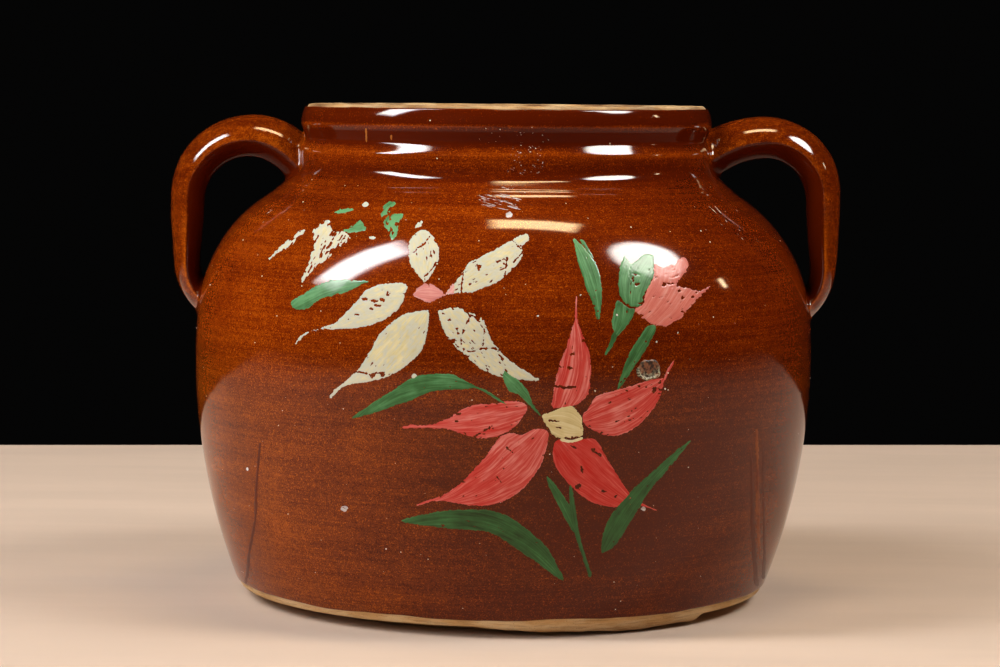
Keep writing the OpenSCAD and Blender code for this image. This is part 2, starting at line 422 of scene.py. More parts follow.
class GlazedWall:
    """The outside of the glaze: the section line turned about the axis, with its throwing marks.

    RIDGES gives the height, depth and spread of single throwing rings. LEANS gives heights up the hollow
    under the bead, each with the wall's lean there in degrees.
    """

    RIDGES = ((144.8, 0.11, 0.40), (142.9, 0.11, 0.40), (140.9, 0.025, 0.80))
    LEANS = ((140.4, 56.0), (143.4, 54.0), (147.5, 53.0), (148.1, 41.0), (149.0, 36.0), (149.8, 28.0),
             (150.8, 19.0), (152.6, 11.0), (155.8, 13.0))
    LEAN_STEP = 0.05
    WAVES = (
        Ripple(0.006, (0.012, 0.012, 0.46), 3.0),
        Ripple(0.022, (0.009, 0.009, 0.10), 9.0),
        Ripple(0.06, (0.02, 0.02, 0.016), 5.0),
    )
    RIDGE_DRIFT = Ripple(0.45, (0.02, 0.02, 0.0))
    RIDGE_SWELL = Ripple(0.6, (0.035, 0.035, 0.0), 23.0)
    RIDGE_SHIFT = 1.7
    CAST_ROOM = 1.0
    CAST_STEPS = 40
    LINE_BLUR = 0.35
    HOLLOW_BLUR = 0.25
    SEED = 11

    def __init__(self, shape: JarShape) -> None:
        """Draw the wall of a jar.

        Args:
            shape: Sizes of the jar.
        """
        self.shape = shape
        self.line = self.thrown(SectionLine(shape.outside(shape.skin), blur=self.LINE_BLUR))
        self.noise = LatticeNoise(self.SEED)

    def thrown(self, line: SectionLine) -> SectionLine:
        """Tighten the hollow under the bead, as a finger left it, by its lean at a few heights.

        Args:
            line: The section line of the solid.

        Returns:
            The line with the hollow tightened.
        """
        heights, leans = np.array(self.LEANS).T
        z = np.arange(heights[0], heights[-1], self.LEAN_STEP)
        ends = np.interp(z[[0, -1]], line.z, line.r)
        r = ends[0] - np.cumsum(np.tan(np.radians(np.interp(z, heights, leans)))) * (z[1] - z[0])
        r += (ends[1] - r[-1]) * (z - z[0]) / np.ptp(z)
        within = (line.z > z[0]) & (line.z < z[-1])
        r = np.where(within, np.interp(line.z, z, r), line.r)
        return SectionLine(np.column_stack([r, line.z]), blur=self.HOLLOW_BLUR)

    def radius(self, z: np.ndarray) -> np.ndarray:
        """Radius of the plain wall at heights."""
        return np.interp(z, self.line.z, self.line.r)

    def relief(self, points: np.ndarray) -> np.ndarray:
        """How far the thrown surface stands out of the plain wall.

        Args:
            points: Points on the plain wall.

        Returns:
            One height for each point, a few hundredths of a millimetre.
        """
        z = points[:, 2]
        waves = sum(wave.at(self.noise, points) for wave in self.WAVES)
        rings = np.zeros(len(points))
        for place, (ring_z, depth, spread) in enumerate(self.RIDGES):
            drift = self.RIDGE_DRIFT.at(self.noise, points, self.RIDGE_SHIFT * place)
            swell = 1.0 + self.RIDGE_SWELL.at(self.noise, points, self.RIDGE_SHIFT * place)
            rings += depth * swell * np.exp(-(((z - ring_z - drift) / spread) ** 2))
        return waves + rings

    def normals(self, points: np.ndarray) -> np.ndarray:
        """Outward directions of the plain wall at points on it.

        Args:
            points: Points on the wall.

        Returns:
            One direction for each point.
        """
        around = points[:, :2] / np.hypot(points[:, 0], points[:, 1])[:, None]
        out = np.interp(points[:, 2], self.line.z, self.line.normal[:, 0])
        up = np.interp(points[:, 2], self.line.z, self.line.normal[:, 1])
        return np.column_stack([around * out[:, None], up])

    def lifted(self, points: np.ndarray, height: np.ndarray | float) -> np.ndarray:
        """Move points of the plain wall out to a height over the thrown surface."""
        rise = self.relief(points) + height
        return points + self.normals(points) * np.broadcast_to(rise, len(points))[:, None]

    def cast(self, eye: np.ndarray, rays: np.ndarray) -> np.ndarray:
        """Find where rays first meet the plain wall.

        Args:
            eye: Point that the rays leave from.
            rays: Direction of each ray.

        Returns:
            One point for each ray.
        """
        flat = (rays[:, :2] ** 2).sum(axis=1)
        middle = -(rays[:, :2] @ eye[:2]) / flat
        miss = ((eye[:2] + rays[:, :2] * middle[:, None]) ** 2).sum(axis=1)
        limit = (self.shape.belly_d / 2 + self.CAST_ROOM) ** 2
        near = middle - np.sqrt(np.maximum(limit - miss, 0.0) / flat)
        far = middle.copy()
        for _ in range(self.CAST_STEPS):
            half = (near + far) / 2
            p = eye + rays * half[:, None]
            outside = np.hypot(p[:, 0], p[:, 1]) > self.radius(p[:, 2])
            near = np.where(outside, half, near)
            far = np.where(outside, far, half)
        return eye + rays * far[:, None]

    def gap(self, points: np.ndarray) -> np.ndarray:
        """Distance of points outside the plain wall, measured level."""
        return np.hypot(points[..., 0], points[..., 1]) - self.radius(points[..., 2])


@dataclass(frozen=True)
class PhotoCamera:
    """The photograph's camera, as a pinhole over its 1000 by 667 frame."""

    width: float = 1000.0
    height: float = 667.0
    focal_px: float = 2917.0
    sensor: float = 36.0
    distance: float = 1024.0
    eye_z: float = 177.5
    aside: float = -1.25
    pitch: float = math.radians(4.81)
    roll: float = math.radians(0.76)
    nearest_m: float = 0.01

    @property
    def eye(self) -> np.ndarray:
        """Where the camera stands."""
        return np.array([self.aside, -self.distance, self.eye_z])

    @property
    def axes(self) -> tuple[np.ndarray, np.ndarray, np.ndarray]:
        """Directions to the picture's right, to its top and into it.

        Returns:
            Three directions of unit length.
        """
        level = np.array([1.0, 0.0, 0.0])
        over = np.array([0.0, math.sin(self.pitch), math.cos(self.pitch)])
        ahead = np.array([0.0, math.cos(self.pitch), -math.sin(self.pitch)])
        right = math.cos(self.roll) * level + math.sin(self.roll) * over
        top = math.cos(self.roll) * over - math.sin(self.roll) * level
        return right, top, ahead

    def rays(self, pixels: np.ndarray) -> np.ndarray:
        """Directions from the eye through pixels of the photograph.

        Args:
            pixels: Column and row of each pixel.

        Returns:
            One direction for each pixel.
        """
        right, top, ahead = self.axes
        x = (pixels[:, 0] - self.width / 2) / self.focal_px
        y = (self.height / 2 - pixels[:, 1]) / self.focal_px
        return ahead + x[:, None] * right + y[:, None] * top

    def on_level(self, pixel: Point, z: float = 0.0) -> np.ndarray:
        """Point of a level plane, such as the table, seen at a pixel."""
        ray = self.rays(np.array([pixel]))[0]
        return self.eye + ray * (z - self.eye[2]) / ray[2]

    def place(self) -> None:
        """Add the camera to the scene."""
        data = bpy.data.cameras.new("photo_camera")
        data.sensor_fit = "HORIZONTAL"
        data.sensor_width = self.sensor
        data.lens = self.focal_px * self.sensor / self.width
        data.clip_start = self.nearest_m
        camera = bpy.data.objects.new("photo_camera", data)
        right, top, ahead = self.axes
        turn = Matrix(np.column_stack([right, top, -ahead]).tolist())
        camera.matrix_world = Matrix.Translation(self.eye * MM) @ turn.to_4x4()
        bpy.context.scene.collection.objects.link(camera)
        bpy.context.scene.camera = camera


class MaterialNodes:
    """Adds and links the nodes of one material."""

    def __init__(self, name: str) -> None:
        """Start a material with its shader.

        Args:
            name: Name of the material.
        """
        self.material = bpy.data.materials.new(name)
        self.material.use_nodes = True
        self.tree = self.material.node_tree
        self.shader = self.tree.nodes["Principled BSDF"]

    def put(self, socket: bpy.types.NodeSocket, value: object) -> None:
        """Link a socket to another, or set its value.

        Args:
            socket: The socket.
            value: Another socket, a value, or none to leave it.
        """
        if isinstance(value, bpy.types.NodeSocket):
            self.tree.links.new(value, socket)
        elif value is not None:
            socket.default_value = (*value, 1.0) if socket.type == "RGBA" else value

    def fill(self, node: bpy.types.Node, values: dict[str, object]) -> None:
        """Give a node's inputs their values, with underscores for the blanks in their names."""
        for name, value in values.items():
            self.put(node.inputs[name.replace("_", " ")], value)

    def dress(self, **values: object) -> None:
        """Give the shader its values."""
        self.fill(self.shader, values)

    def add(self, kind: str, **values: object) -> bpy.types.Node:
        """Add a node with its values.

        Args:
            kind: Kind of node.
            **values: Values of its inputs.

        Returns:
            The node.
        """
        node = self.tree.nodes.new(f"ShaderNode{kind}")
        self.fill(node, values)
        return node

    def place(self, stretch: Triple) -> bpy.types.NodeSocket:
        """Object coordinates in millimetres, times a stretch along each axis."""
        coordinates = self.add("TexCoord").outputs["Object"]
        return self.stretched(coordinates, tuple(v / MM for v in stretch))

    def stretched(self, vector: bpy.types.NodeSocket, factors: tuple[float, ...]) -> bpy.types.NodeSocket:
        """A vector times a factor along each axis.

        Args:
            vector: The vector.
            factors: The factors.

        Returns:
            The new vector.
        """
        node = self.add("VectorMath")
        node.operation = "MULTIPLY"
        self.put(node.inputs[0], vector)
        self.put(node.inputs[1], factors)
        return node.outputs["Vector"]

    def across(self, way: Triple) -> bpy.types.NodeSocket:
        """How far a point lies along a direction, in millimetres times the direction's length.

        Args:
            way: The direction.

        Returns:
            The distance.
        """
        node = self.add("VectorMath")
        node.operation = "DOT_PRODUCT"
        self.put(node.inputs[0], self.place((1.0, 1.0, 1.0)))
        self.put(node.inputs[1], way)
        return node.outputs["Value"]

    def attribute(self, name: str, output: str = "Fac") -> bpy.types.NodeSocket:
        """A value kept on the mesh.

        Args:
            name: Name of the value.
            output: Which form it is read in.

        Returns:
            The value.
        """
        node = self.add("Attribute")
        node.attribute_name = name
        return node.outputs[output]

    def noise(
        self, vector: bpy.types.NodeSocket, detail: float = 2.0, rough: float = 0.5, bend: float = 0.0
    ) -> bpy.types.NodeSocket:
        """Noise at a vector.

        Args:
            vector: Where the noise is read, in its own steps.
            detail: Number of finer layers.
            rough: Strength of each finer layer.
            bend: How far the noise is bent by itself.

        Returns:
            A value about one half.
        """
        node = self.add("TexNoise", Vector=vector, Scale=1.0, Detail=detail, Roughness=rough, Distortion=bend)
        return node.outputs["Fac"]

    def math(self, operation: str, a: object, b: object = None, c: object = None) -> bpy.types.NodeSocket:
        """Sum, product or other operation on values.

        Args:
            operation: The operation.
            a: First value.
            b: Second value.
            c: Third value.

        Returns:
            The new value.
        """
        node = self.add("Math")
        node.operation = operation
        for socket, value in zip(node.inputs, (a, b, c)):
            self.put(socket, value)
        return node.outputs["Value"]

    def ranged(
        self, value: bpy.types.NodeSocket, low: float, high: float, to_low: float = 0.0, to_high: float = 1.0
    ) -> bpy.types.NodeSocket:
        """A value moved smoothly from one range to another and kept inside it.

        Args:
            value: The value.
            low: Where the first range starts.
            high: Where it ends.
            to_low: Where the new range starts.
            to_high: Where it ends.

        Returns:
            The new value.
        """
        node = self.add("MapRange", Value=value, From_Min=low, From_Max=high, To_Min=to_low, To_Max=to_high)
        node.interpolation_type = "SMOOTHSTEP"
        return node.outputs["Result"]

    def mix(self, share: object, first: object, second: object) -> bpy.types.NodeSocket:
        """Two colours mixed by a share.

        Args:
            share: Share of the second colour.
            first: First colour.
            second: Second colour.

        Returns:
            The colour.
        """
        node = self.add("Mix")
        node.data_type = "RGBA"
        self.put(node.inputs["Factor"], share)
        self.put(node.inputs[6], first)
        self.put(node.inputs[7], second)
        return node.outputs[2]

    def ramp(self, share: bpy.types.NodeSocket, stops: list[tuple[float, Colour]]) -> bpy.types.NodeSocket:
        """Colours along a value.

        Args:
            share: The value.
            stops: Places and colours, first to last.

        Returns:
            The colour.
        """
        node = self.add("ValToRGB", Fac=share)
        elements = node.color_ramp.elements
        while len(elements) < len(stops):
            elements.new(0.5)
        for element, (place, colour) in zip(elements, stops):
            element.position = place
            element.color = (*colour, 1.0)
        return node.outputs["Color"]

    def bump(self, height: bpy.types.NodeSocket, strength: float, depth: float) -> bpy.types.NodeSocket:
        """A bumped normal.

        Args:
            height: Height between 0 and 1.
            strength: Share of the bump that shows.
            depth: Depth in millimetres that a height of 1 stands for.

        Returns:
            The normal.
        """
        node = self.add("Bump", Height=height, Strength=strength, Distance=depth * MM)
        return node.outputs["Normal"]


@dataclass(frozen=True)
class GlazeFinish:
    """Brown glaze: clear glass over clay, streaked by the wheel, darker where it pools, and darker still
    where painted shade is laid in through the same pool value.

    The names in capitals are steps of noise to the millimetre along each axis.
    """

    FINE = (0.03, 0.03, 1.5)
    BROAD = (0.012, 0.012, 0.16)
    CLOUDS = (0.03, 0.03, 0.03)
    MOTTLE = (0.42, 0.42, 0.55)
    GRAIN = (2.6, 2.6, 3.0)
    SPECKS = (2.0, 2.0, 2.3)

    name: str
    dark: Colour = (0.075, 0.0072, 0.0006)
    body: Colour = (0.178, 0.0218, 0.0009)
    amber: Colour = (0.39, 0.070, 0.003)
    low_dark: Colour = (0.068, 0.0085, 0.0006)
    low_body: Colour = (0.165, 0.0275, 0.0012)
    low_amber: Colour = (0.36, 0.078, 0.004)
    low_from_z: float = 105.0
    low_to_z: float = 70.0
    level: float = 0.33
    streak: float = 0.5
    mottling: float = 0.5
    banding: float = 0.4
    clouding: float = 0.4
    graining: float = 1.15
    specking: float = 0.35
    speck_range: Point = (0.62, 0.76)
    pooling_and_shade: float = -0.34
    pooled_range: Point = (1.0, 1.35)
    pooled_coat: float = 0.18
    grain_h: float = 0.6
    fine_h: float = 0.5
    roughness: float = 0.35
    coat_roughness: float = 0.07
    bump: float = 0.04
    coat_bump: float = 0.045
    bump_depth: float = 0.03
    stops: Triple = (0.12, 0.5, 0.92)
    # drift sets a change of tone per millimetre along X, Y and Z; on the outer glaze it is painted shade,
    # darker towards the right, where less light falls, and darker with height.
    drift: Triple = (0.0, 0.0, 0.0)

    def material(self) -> bpy.types.Material:
        """Make the glaze's material.

        Returns:
            The material.
        """
        nodes = MaterialNodes(self.name)
        fine = nodes.noise(nodes.place(self.FINE), detail=3.0, rough=0.6)
        broad = nodes.noise(nodes.place(self.BROAD), detail=2.0)
        clouds = nodes.noise(nodes.place(self.CLOUDS), detail=3.0, bend=0.6)
        mottle = nodes.noise(nodes.place(self.MOTTLE), detail=3.0, rough=0.65)
        grain = nodes.noise(nodes.place(self.GRAIN), detail=1.0, rough=0.7)
        specks = nodes.noise(nodes.place(self.SPECKS), detail=0.0, bend=0.4)
        # Painted shade: the drift darkens the tone towards the right, where less light falls, and with
        # height.
        tone = nodes.math("ADD", nodes.across(self.drift), self.level)
        shares = (
            (fine, self.streak),
            (broad, self.banding),
            (clouds, self.clouding),
            (mottle, self.mottling),
            (grain, self.graining),
        )
        for layer, share in shares:
            tone = nodes.math("MULTIPLY_ADD", layer, share, nodes.math("ADD", tone, -share / 2))
        tone = nodes.math("ADD", tone, nodes.ranged(specks, *self.speck_range, 0.0, self.specking))
        # Darker where the glaze pools, and where painted shade is laid in: the neck band under the collar,
        # the lower front and the handles' inner sides.
        tone = nodes.math("MULTIPLY_ADD", nodes.attribute("pool_and_shade"), self.pooling_and_shade, tone)
        colour = nodes.ramp(tone, list(zip(self.stops, (self.dark, self.body, self.amber))))
        browner = nodes.ramp(tone, list(zip(self.stops, (self.low_dark, self.low_body, self.low_amber))))
        low = nodes.ranged(nodes.across((0.0, 0.0, 1.0)), self.low_to_z, self.low_from_z, 1.0, 0.0)
        colour = nodes.mix(low, colour, browner)
        height = nodes.math("MULTIPLY_ADD", grain, self.grain_h, nodes.math("MULTIPLY", fine, self.fine_h))
        nodes.dress(
            Base_Color=colour,
            Roughness=self.roughness,
            Specular_IOR_Level=0.0,
            Coat_Weight=nodes.ranged(nodes.attribute("pool_and_shade"), *self.pooled_range, 1.0, self.pooled_coat),
            Coat_IOR=GLAZE_IOR,
            Coat_Roughness=self.coat_roughness,
            Normal=nodes.bump(height, self.bump, self.bump_depth),
            Coat_Normal=nodes.bump(height, self.coat_bump, self.bump_depth),
        )
        return nodes.material


@dataclass(frozen=True)
class ClayFinish:
    """Bare fired clay: buff, sandy, with dirt where it was handled or stood.

    The names in capitals are steps of noise to the millimetre along each axis.
    """

    CLOUDS = (0.07, 0.07, 0.25)
    SAND = (2.2, 2.2, 2.2)
    STREAKS = (0.12, 0.12, 1.6)

    name: str
    pale: Colour = (0.62, 0.43, 0.23)
    warm: Colour = (0.52, 0.30, 0.12)
    dirt: Colour = (0.15, 0.062, 0.02)
    cloud_range: Point = (0.36, 0.64)
    specking: float = 0.55
    speck_range: Point = (0.60, 0.72)
    wash: float = 0.35
    wash_range: Point = (0.48, 0.66)
    grit_range: Point = (0.25, 0.6)
    least_grit: float = 0.75
    most_soil: float = 0.92
    sand_h: float = 0.7
    streak_h: float = 0.5
    roughness: float = 0.88
    specular: float = 0.1
    bump: float = 0.7
    bump_depth: float = 0.12

    def material(self) -> bpy.types.Material:
        """Make the clay's material.

        Returns:
            The material.
        """
        nodes = MaterialNodes(self.name)
        clouds = nodes.noise(nodes.place(self.CLOUDS), detail=4.0, rough=0.6)
        sand = nodes.noise(nodes.place(self.SAND), detail=2.0, rough=0.7)
        streaks = nodes.noise(nodes.place(self.STREAKS), detail=3.0, rough=0.6)
        colour = nodes.mix(nodes.ranged(clouds, *self.cloud_range), self.warm, self.pale)
        specks = nodes.ranged(sand, *self.speck_range, 0.0, self.specking)
        colour = nodes.mix(specks, colour, self.dirt)
        wash = nodes.math("MULTIPLY", nodes.ranged(streaks, *self.wash_range), self.wash)
        soil = nodes.math("ADD", nodes.attribute("soil"), wash)
        soil = nodes.math("MULTIPLY", soil, nodes.ranged(sand, *self.grit_range, self.least_grit, 1.0))
        colour = nodes.mix(nodes.math("MINIMUM", soil, self.most_soil), colour, self.dirt)
        ridges = nodes.math("MULTIPLY", streaks, self.streak_h)
        height = nodes.math("MULTIPLY_ADD", sand, self.sand_h, ridges)
        nodes.dress(
            Base_Color=colour,
            Roughness=self.roughness,
            Specular_IOR_Level=self.specular,
            Normal=nodes.bump(height, self.bump, self.bump_depth),
        )
        return nodes.material


@dataclass(frozen=True)
class PaintFinish:
    """Cold paint brushed on the glaze, in three shades from thin to full, with a rim of its own.

    HAIRS and BANDS are steps of noise to the millimetre along and across a stroke.
    """

    HAIRS = (0.10, 2.3, 1.0)
    BANDS = (0.05, 0.55, 1.0)
    SMEARS = (0.22, 0.22, 0.22)

    name: str
    thin: Colour
    body: Colour
    full: Colour
    rim: Colour | None = None
    roughness: float = 0.42
    streak: float = 1.0
    coat: float = 0.12
    coat_roughness: float = 0.12
    hair_share: float = 0.9
    band_share: float = 0.8
    smear_share: float = 0.5
    tint_share: float = 0.42
    rim_smear: float = 0.9
    rim_range: Point = (0.1, 0.95)
    specular: float = 0.08
    bump: float = 0.22
    bump_depth: float = 0.03
    stops: Triple = (0.08, 0.5, 0.92)

    def material(self) -> bpy.types.Material:
        """Make the paint's material.

        Returns:
            The material.
        """
        nodes = MaterialNodes(self.name)
        stroke = nodes.attribute("stroke", "Vector")
        hairs = nodes.noise(nodes.stretched(stroke, self.HAIRS), detail=2.0, rough=0.6)
        bands = nodes.noise(nodes.stretched(stroke, self.BANDS), detail=2.0)
        smears = nodes.noise(nodes.place(self.SMEARS), detail=3.0)
        hair, band = self.hair_share * self.streak, self.band_share * self.streak
        tone = nodes.math("MULTIPLY_ADD", hairs, hair, 0.5 - hair / 2)
        for layer, share in ((bands, band), (smears, self.smear_share)):
            tone = nodes.math("MULTIPLY_ADD", layer, share, nodes.math("ADD", tone, -share / 2))
        tone = nodes.math("MULTIPLY_ADD", nodes.attribute("tint"), self.tint_share, tone)
        colour = nodes.ramp(tone, list(zip(self.stops, (self.thin, self.body, self.full))))
        if self.rim is not None:
            core = nodes.math("ADD", nodes.attribute("core"), -self.rim_smear / 2)
            share = nodes.math("MULTIPLY_ADD", smears, self.rim_smear, core)
            colour = nodes.mix(nodes.ranged(share, *self.rim_range), self.rim, colour)
        nodes.dress(
            Base_Color=colour,
            Roughness=self.roughness,
            Specular_IOR_Level=self.specular,
            Coat_Weight=self.coat,
            Coat_IOR=GLAZE_IOR,
            Coat_Roughness=self.coat_roughness,
            Normal=nodes.bump(nodes.math("ADD", hairs, bands), self.bump, self.bump_depth),
        )
        return nodes.material


@dataclass(frozen=True)
class ScarFinish:
    """Burst glaze: dark glass in the hollow and a pale gritty crust round it.

    The names in capitals are steps of noise to the millimetre along each axis.
    """

    GRIT = (1.5, 1.5, 1.5)
    BLOTS = (0.6, 0.6, 0.6)

    name: str
    glass: Colour = (0.030, 0.012, 0.006)
    rust: Colour = (0.19, 0.070, 0.030)
    crust: Colour = (0.58, 0.55, 0.36)
    rust_range: Point = (0.42, 0.6)
    crust_range: Point = (0.44, 0.58)
    grit_range: Point = (0.4, 0.6)
    roughness: Point = (0.35, 0.7)
    specular: float = 0.2
    bump: float = 0.6
    bump_depth: float = 0.15

    def material(self) -> bpy.types.Material:
        """Make the scar's material.

        Returns:
            The material.
        """
        nodes = MaterialNodes(self.name)
        grit = nodes.noise(nodes.place(self.GRIT), detail=3.0, rough=0.7)
        blots = nodes.noise(nodes.place(self.BLOTS), detail=2.0)
        colour = nodes.mix(nodes.ranged(blots, *self.rust_range), self.glass, self.rust)
        share = nodes.math("MULTIPLY", nodes.attribute("crust"), nodes.ranged(grit, *self.crust_range))
        colour = nodes.mix(share, colour, self.crust)
        nodes.dress(
            Base_Color=colour,
            Roughness=nodes.ranged(grit, *self.grit_range, *self.roughness),
            Specular_IOR_Level=self.specular,
            Normal=nodes.bump(grit, self.bump, self.bump_depth),
        )
        return nodes.material


def settled(points: np.ndarray) -> np.ndarray:
    """Let the neck dip towards the left handle by part of a degree, as the soft clay settled.

    Args:
        points: Points of the jar as it was thrown.

    Returns:
        The points, moved down.
    """
    rise = np.clip((points[:, 2] - DIP_FROM_Z) / (DIP_TO_Z - DIP_FROM_Z), 0.0, 1.0)
    dip = DIP_SLOPE * (points[:, 0] - DIP_EDGE_X) * rise**2 * (3 - 2 * rise)
    return points + np.column_stack([np.zeros((len(points), 2)), dip])


class MeshPiece:
    """Points and faces of one piece, gathered before its mesh is written."""

    def __init__(self, name: str) -> None:
        """Start an empty piece.

        Args:
            name: Name of the piece.
        """
        self.name = name
        self.points: list[np.ndarray] = []
        self.faces: list[Face] = []
        self.values: dict[str, list[np.ndarray]] = {}
        self.count = 0

    def add(self, points: np.ndarray, faces: list[Face], **values: np.ndarray) -> None:
        """Add a part of the piece.

        Args:
            points: Points in millimetres.
            faces: Faces by the index of their points in this part.
            **values: Values kept at the points.
        """
        self.points.append(points)
        self.faces.extend(tuple(i + self.count for i in face) for face in faces)
        for name, value in values.items():
            self.values.setdefault(name, []).append(np.asarray(value, float))
        self.count += len(points)

    def write(self, material: bpy.types.Material, crease: float | None = None) -> bpy.types.Object:
        """Write the mesh and let it ride on the jar.

        Args:
            material: The finish.
            crease: Angle in degrees over which an edge stays sharp.

        Returns:
            The piece.
        """
        mesh = bpy.data.meshes.new(self.name)
        mesh.from_pydata((settled(np.vstack(self.points)) * MM).tolist(), [], self.faces)
        mesh.shade_smooth()
        if crease is not None:
            mesh.set_sharp_from_angle(angle=math.radians(crease))
        for name, parts in self.values.items():
            kept = np.concatenate(parts)
            if kept.ndim == 2:
                mesh.attributes.new(name, "FLOAT_VECTOR", "POINT").data.foreach_set("vector", kept.ravel())
            else:
                mesh.attributes.new(name, "FLOAT", "POINT").data.foreach_set("value", kept)
        mesh.materials.append(material)
        mesh.update()
        piece = bpy.data.objects.new(self.name, mesh)
        bpy.context.scene.collection.objects.link(piece)
        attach(piece, BODY)
        LOG.info("%s: %d faces", self.name, len(self.faces))
        return piece


def ring_faces(rows: int, columns: int, closed: bool = False) -> list[Face]:
    """Join rings of points into quads.

    Args:
        rows: Number of rings.
        columns: Number of points in each ring.
        closed: Whether the last ring joins the first.

    Returns:
        Faces that look outwards where the rings turn left and climb.
    """
    first = np.arange(rows if closed else rows - 1)[:, None] * columns
    column = np.arange(columns)[None, :]
    beside = (column + 1) % columns
    above = (first + columns) % (rows * columns)
    quads = np.stack([first + column, first + beside, above + beside, above + column], axis=-1)
    return [tuple(quad) for quad in quads.reshape(-1, 4).tolist()]


def fan(tip: int, first: int, columns: int) -> list[Face]:
    """Join a ring of points to one more point.

    Args:
        tip: The one point.
        first: First point of the ring.
        columns: Number of points in the ring.

    Returns:
        Triangles that look up where the ring turns left and the tip is over it.
    """
    return [(tip, first + k, first + (k + 1) % columns) for k in range(columns)]


def flipped(faces: list[Face]) -> list[Face]:
    """Turn faces over."""
    return [face[::-1] for face in faces]


def turned(r: np.ndarray, z: np.ndarray, angles: np.ndarray) -> np.ndarray:
    """Turn section points about the axis.

    Args:
        r: Radii, one row for each ring and one column for each angle or for all.
        z: Heights, likewise.
        angles: Angles in radians.

    Returns:
        Points ring by ring.
    """
    shape = np.broadcast_shapes(r.shape, z.shape, (1, len(angles)))
    x = np.broadcast_to(r * np.cos(angles), shape)
    y = np.broadcast_to(r * np.sin(angles), shape)
    return np.stack([x, y, np.broadcast_to(z, shape)], axis=-1).reshape(-1, 3)


@dataclass
class GlazeCoat:
    """The glaze outside: one closed skin from the foot's bare band to the lip's."""

    wall: GlazedWall
    columns: int = 240
    low_step: float = 0.95
    high_step: float = 0.34
    high_from: float = 139.0
    edge_roll: float = 0.8
    under: float = 0.14
    foot_wave: Ripple = Ripple(0.42, 5.0, 4.0, 4)
    rim_wave: Ripple = Ripple(0.13, 6.0, 14.0, 4)
    rim_rise: float = 0.6
    # Painted shade on the neck band, in the shadow of the collar's overhang.
    neck_shade: float = 1.9
    neck_shade_z: float = 162.2
    neck_shade_h: float = 2.2
    collar_pool: float = 1.3
    collar_pool_from: float = 0.5
    collar_pool_run: float = 0.8
    # Painted shade over the lower front, where the lamps only graze the wall.
    front_shade: float = 0.95
    front_a: float = math.radians(12.0)
    front_half_a: float = math.radians(36.0)
    front_z: float = 105.0
    front_h: float = 50.0
    edge_thin: float = 0.5
    back_rows: int = 30

    def edges(self, angles: np.ndarray) -> tuple[np.ndarray, np.ndarray]:
        """Find where the glaze ends.

        Args:
            angles: Angles round the jar.

        Returns:
            Distances along the section line of the lower and of the upper edge.
        """
        shape, line, noise = self.wall.shape, self.wall.line, self.wall.noise
        ring = np.column_stack([np.cos(angles), np.sin(angles), np.zeros(len(angles))])
        low_z = shape.foot_h + shape.foot_bare + self.foot_wave.at(noise, ring)
        high_z = shape.rim_z - shape.rim_bare + self.rim_rise + self.rim_wave.at(noise, ring)
        return np.interp(low_z, line.z, line.s), np.interp(high_z, line.z, line.s)

    def pooling_and_shade(self, plain: np.ndarray, curve: np.ndarray, edge: np.ndarray) -> np.ndarray:
        """How thick the glaze lies, from thin below zero to pooled above it, with painted shade added on the
        neck band and on the lower front.

        Args:
            plain: Points of the plain wall.
            curve: Bend of the section line at each.
            edge: Share of the way in over the rolled edge.

        Returns:
            One value for each point.
        """
        shape, z = self.wall.shape, plain[:, 2]
        pool_and_shade = np.tanh(-POOL_BY_CURVE * curve)
        # Painted shade of the collar's overhang on the neck band.
        pool_and_shade += self.neck_shade * np.exp(-(((z - self.neck_shade_z) / self.neck_shade_h) ** 2))
        above = z - (shape.rim_z - shape.collar_h) - self.collar_pool_from
        pool_and_shade += self.collar_pool * np.clip(above / self.collar_pool_run, 0.0, 1.0)
        # Painted shade on the lower front, where the lamps only graze the wall.
        turn = (np.arctan2(plain[:, 0], -plain[:, 1]) - self.front_a) / self.front_half_a
        pool_and_shade += self.front_shade * np.exp(-(turn**2)) * np.clip((self.front_z - z) / self.front_h, 0.0, 1.0)
        return pool_and_shade - self.edge_thin * (1.0 - edge)

    def build(self, finish: GlazeFinish) -> bpy.types.Object:
        """Build and dress the coat.

        Args:
            finish: The glaze.

        Returns:
            The piece.
        """
        line, wall = self.wall.line, self.wall
        angles = np.linspace(0.0, 2 * math.pi, self.columns, endpoint=False)
        low, high = self.edges(angles)
        lip = self.edge_roll * ROLL_STEPS
        fine_s = np.interp(self.high_from, line.z, line.s)
        rows = [np.arange(0.0, fine_s, self.low_step), np.arange(fine_s, line.length, self.high_step)]
        inner = (np.concatenate([*rows, [line.length]]) / line.length)[:, None]
        first = low + lip[:, None]
        last = (high - lip[:, None])[::-1]
        body = low + self.edge_roll + inner * (high - low - 2 * self.edge_roll)
        s = np.vstack([first, body, last])
        edge = np.clip(np.minimum(s - low, high - s) / self.edge_roll, 0.0, 1.0)
        sunk = wall.shape.glaze_t * (np.sqrt(1.0 - (1.0 - edge) ** 2) - 1.0)
        plain = turned(line.read(line.r, s), line.read(line.z, s), angles)
        outer = wall.lifted(plain, sunk.ravel())
        pool_and_shade = self.pooling_and_shade(plain, line.read(line.curve, s).ravel(), edge.ravel())
        back_s = high + np.linspace(0.0, 1.0, self.back_rows)[:, None] * (low - high)
        back = turned(line.read(line.r, back_s), line.read(line.z, back_s), angles)
        back = wall.lifted(back, -wall.shape.glaze_t - self.under)
        points = np.vstack([outer, back])
        faces = ring_faces(len(points) // self.columns, self.columns, closed=True)
        piece = MeshPiece("glaze_coat")
        piece.add(points, faces, pool_and_shade=np.concatenate([pool_and_shade, np.zeros(len(back))]))
        made = piece.write(finish.material())
        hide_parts("outer_glaze")
        return made


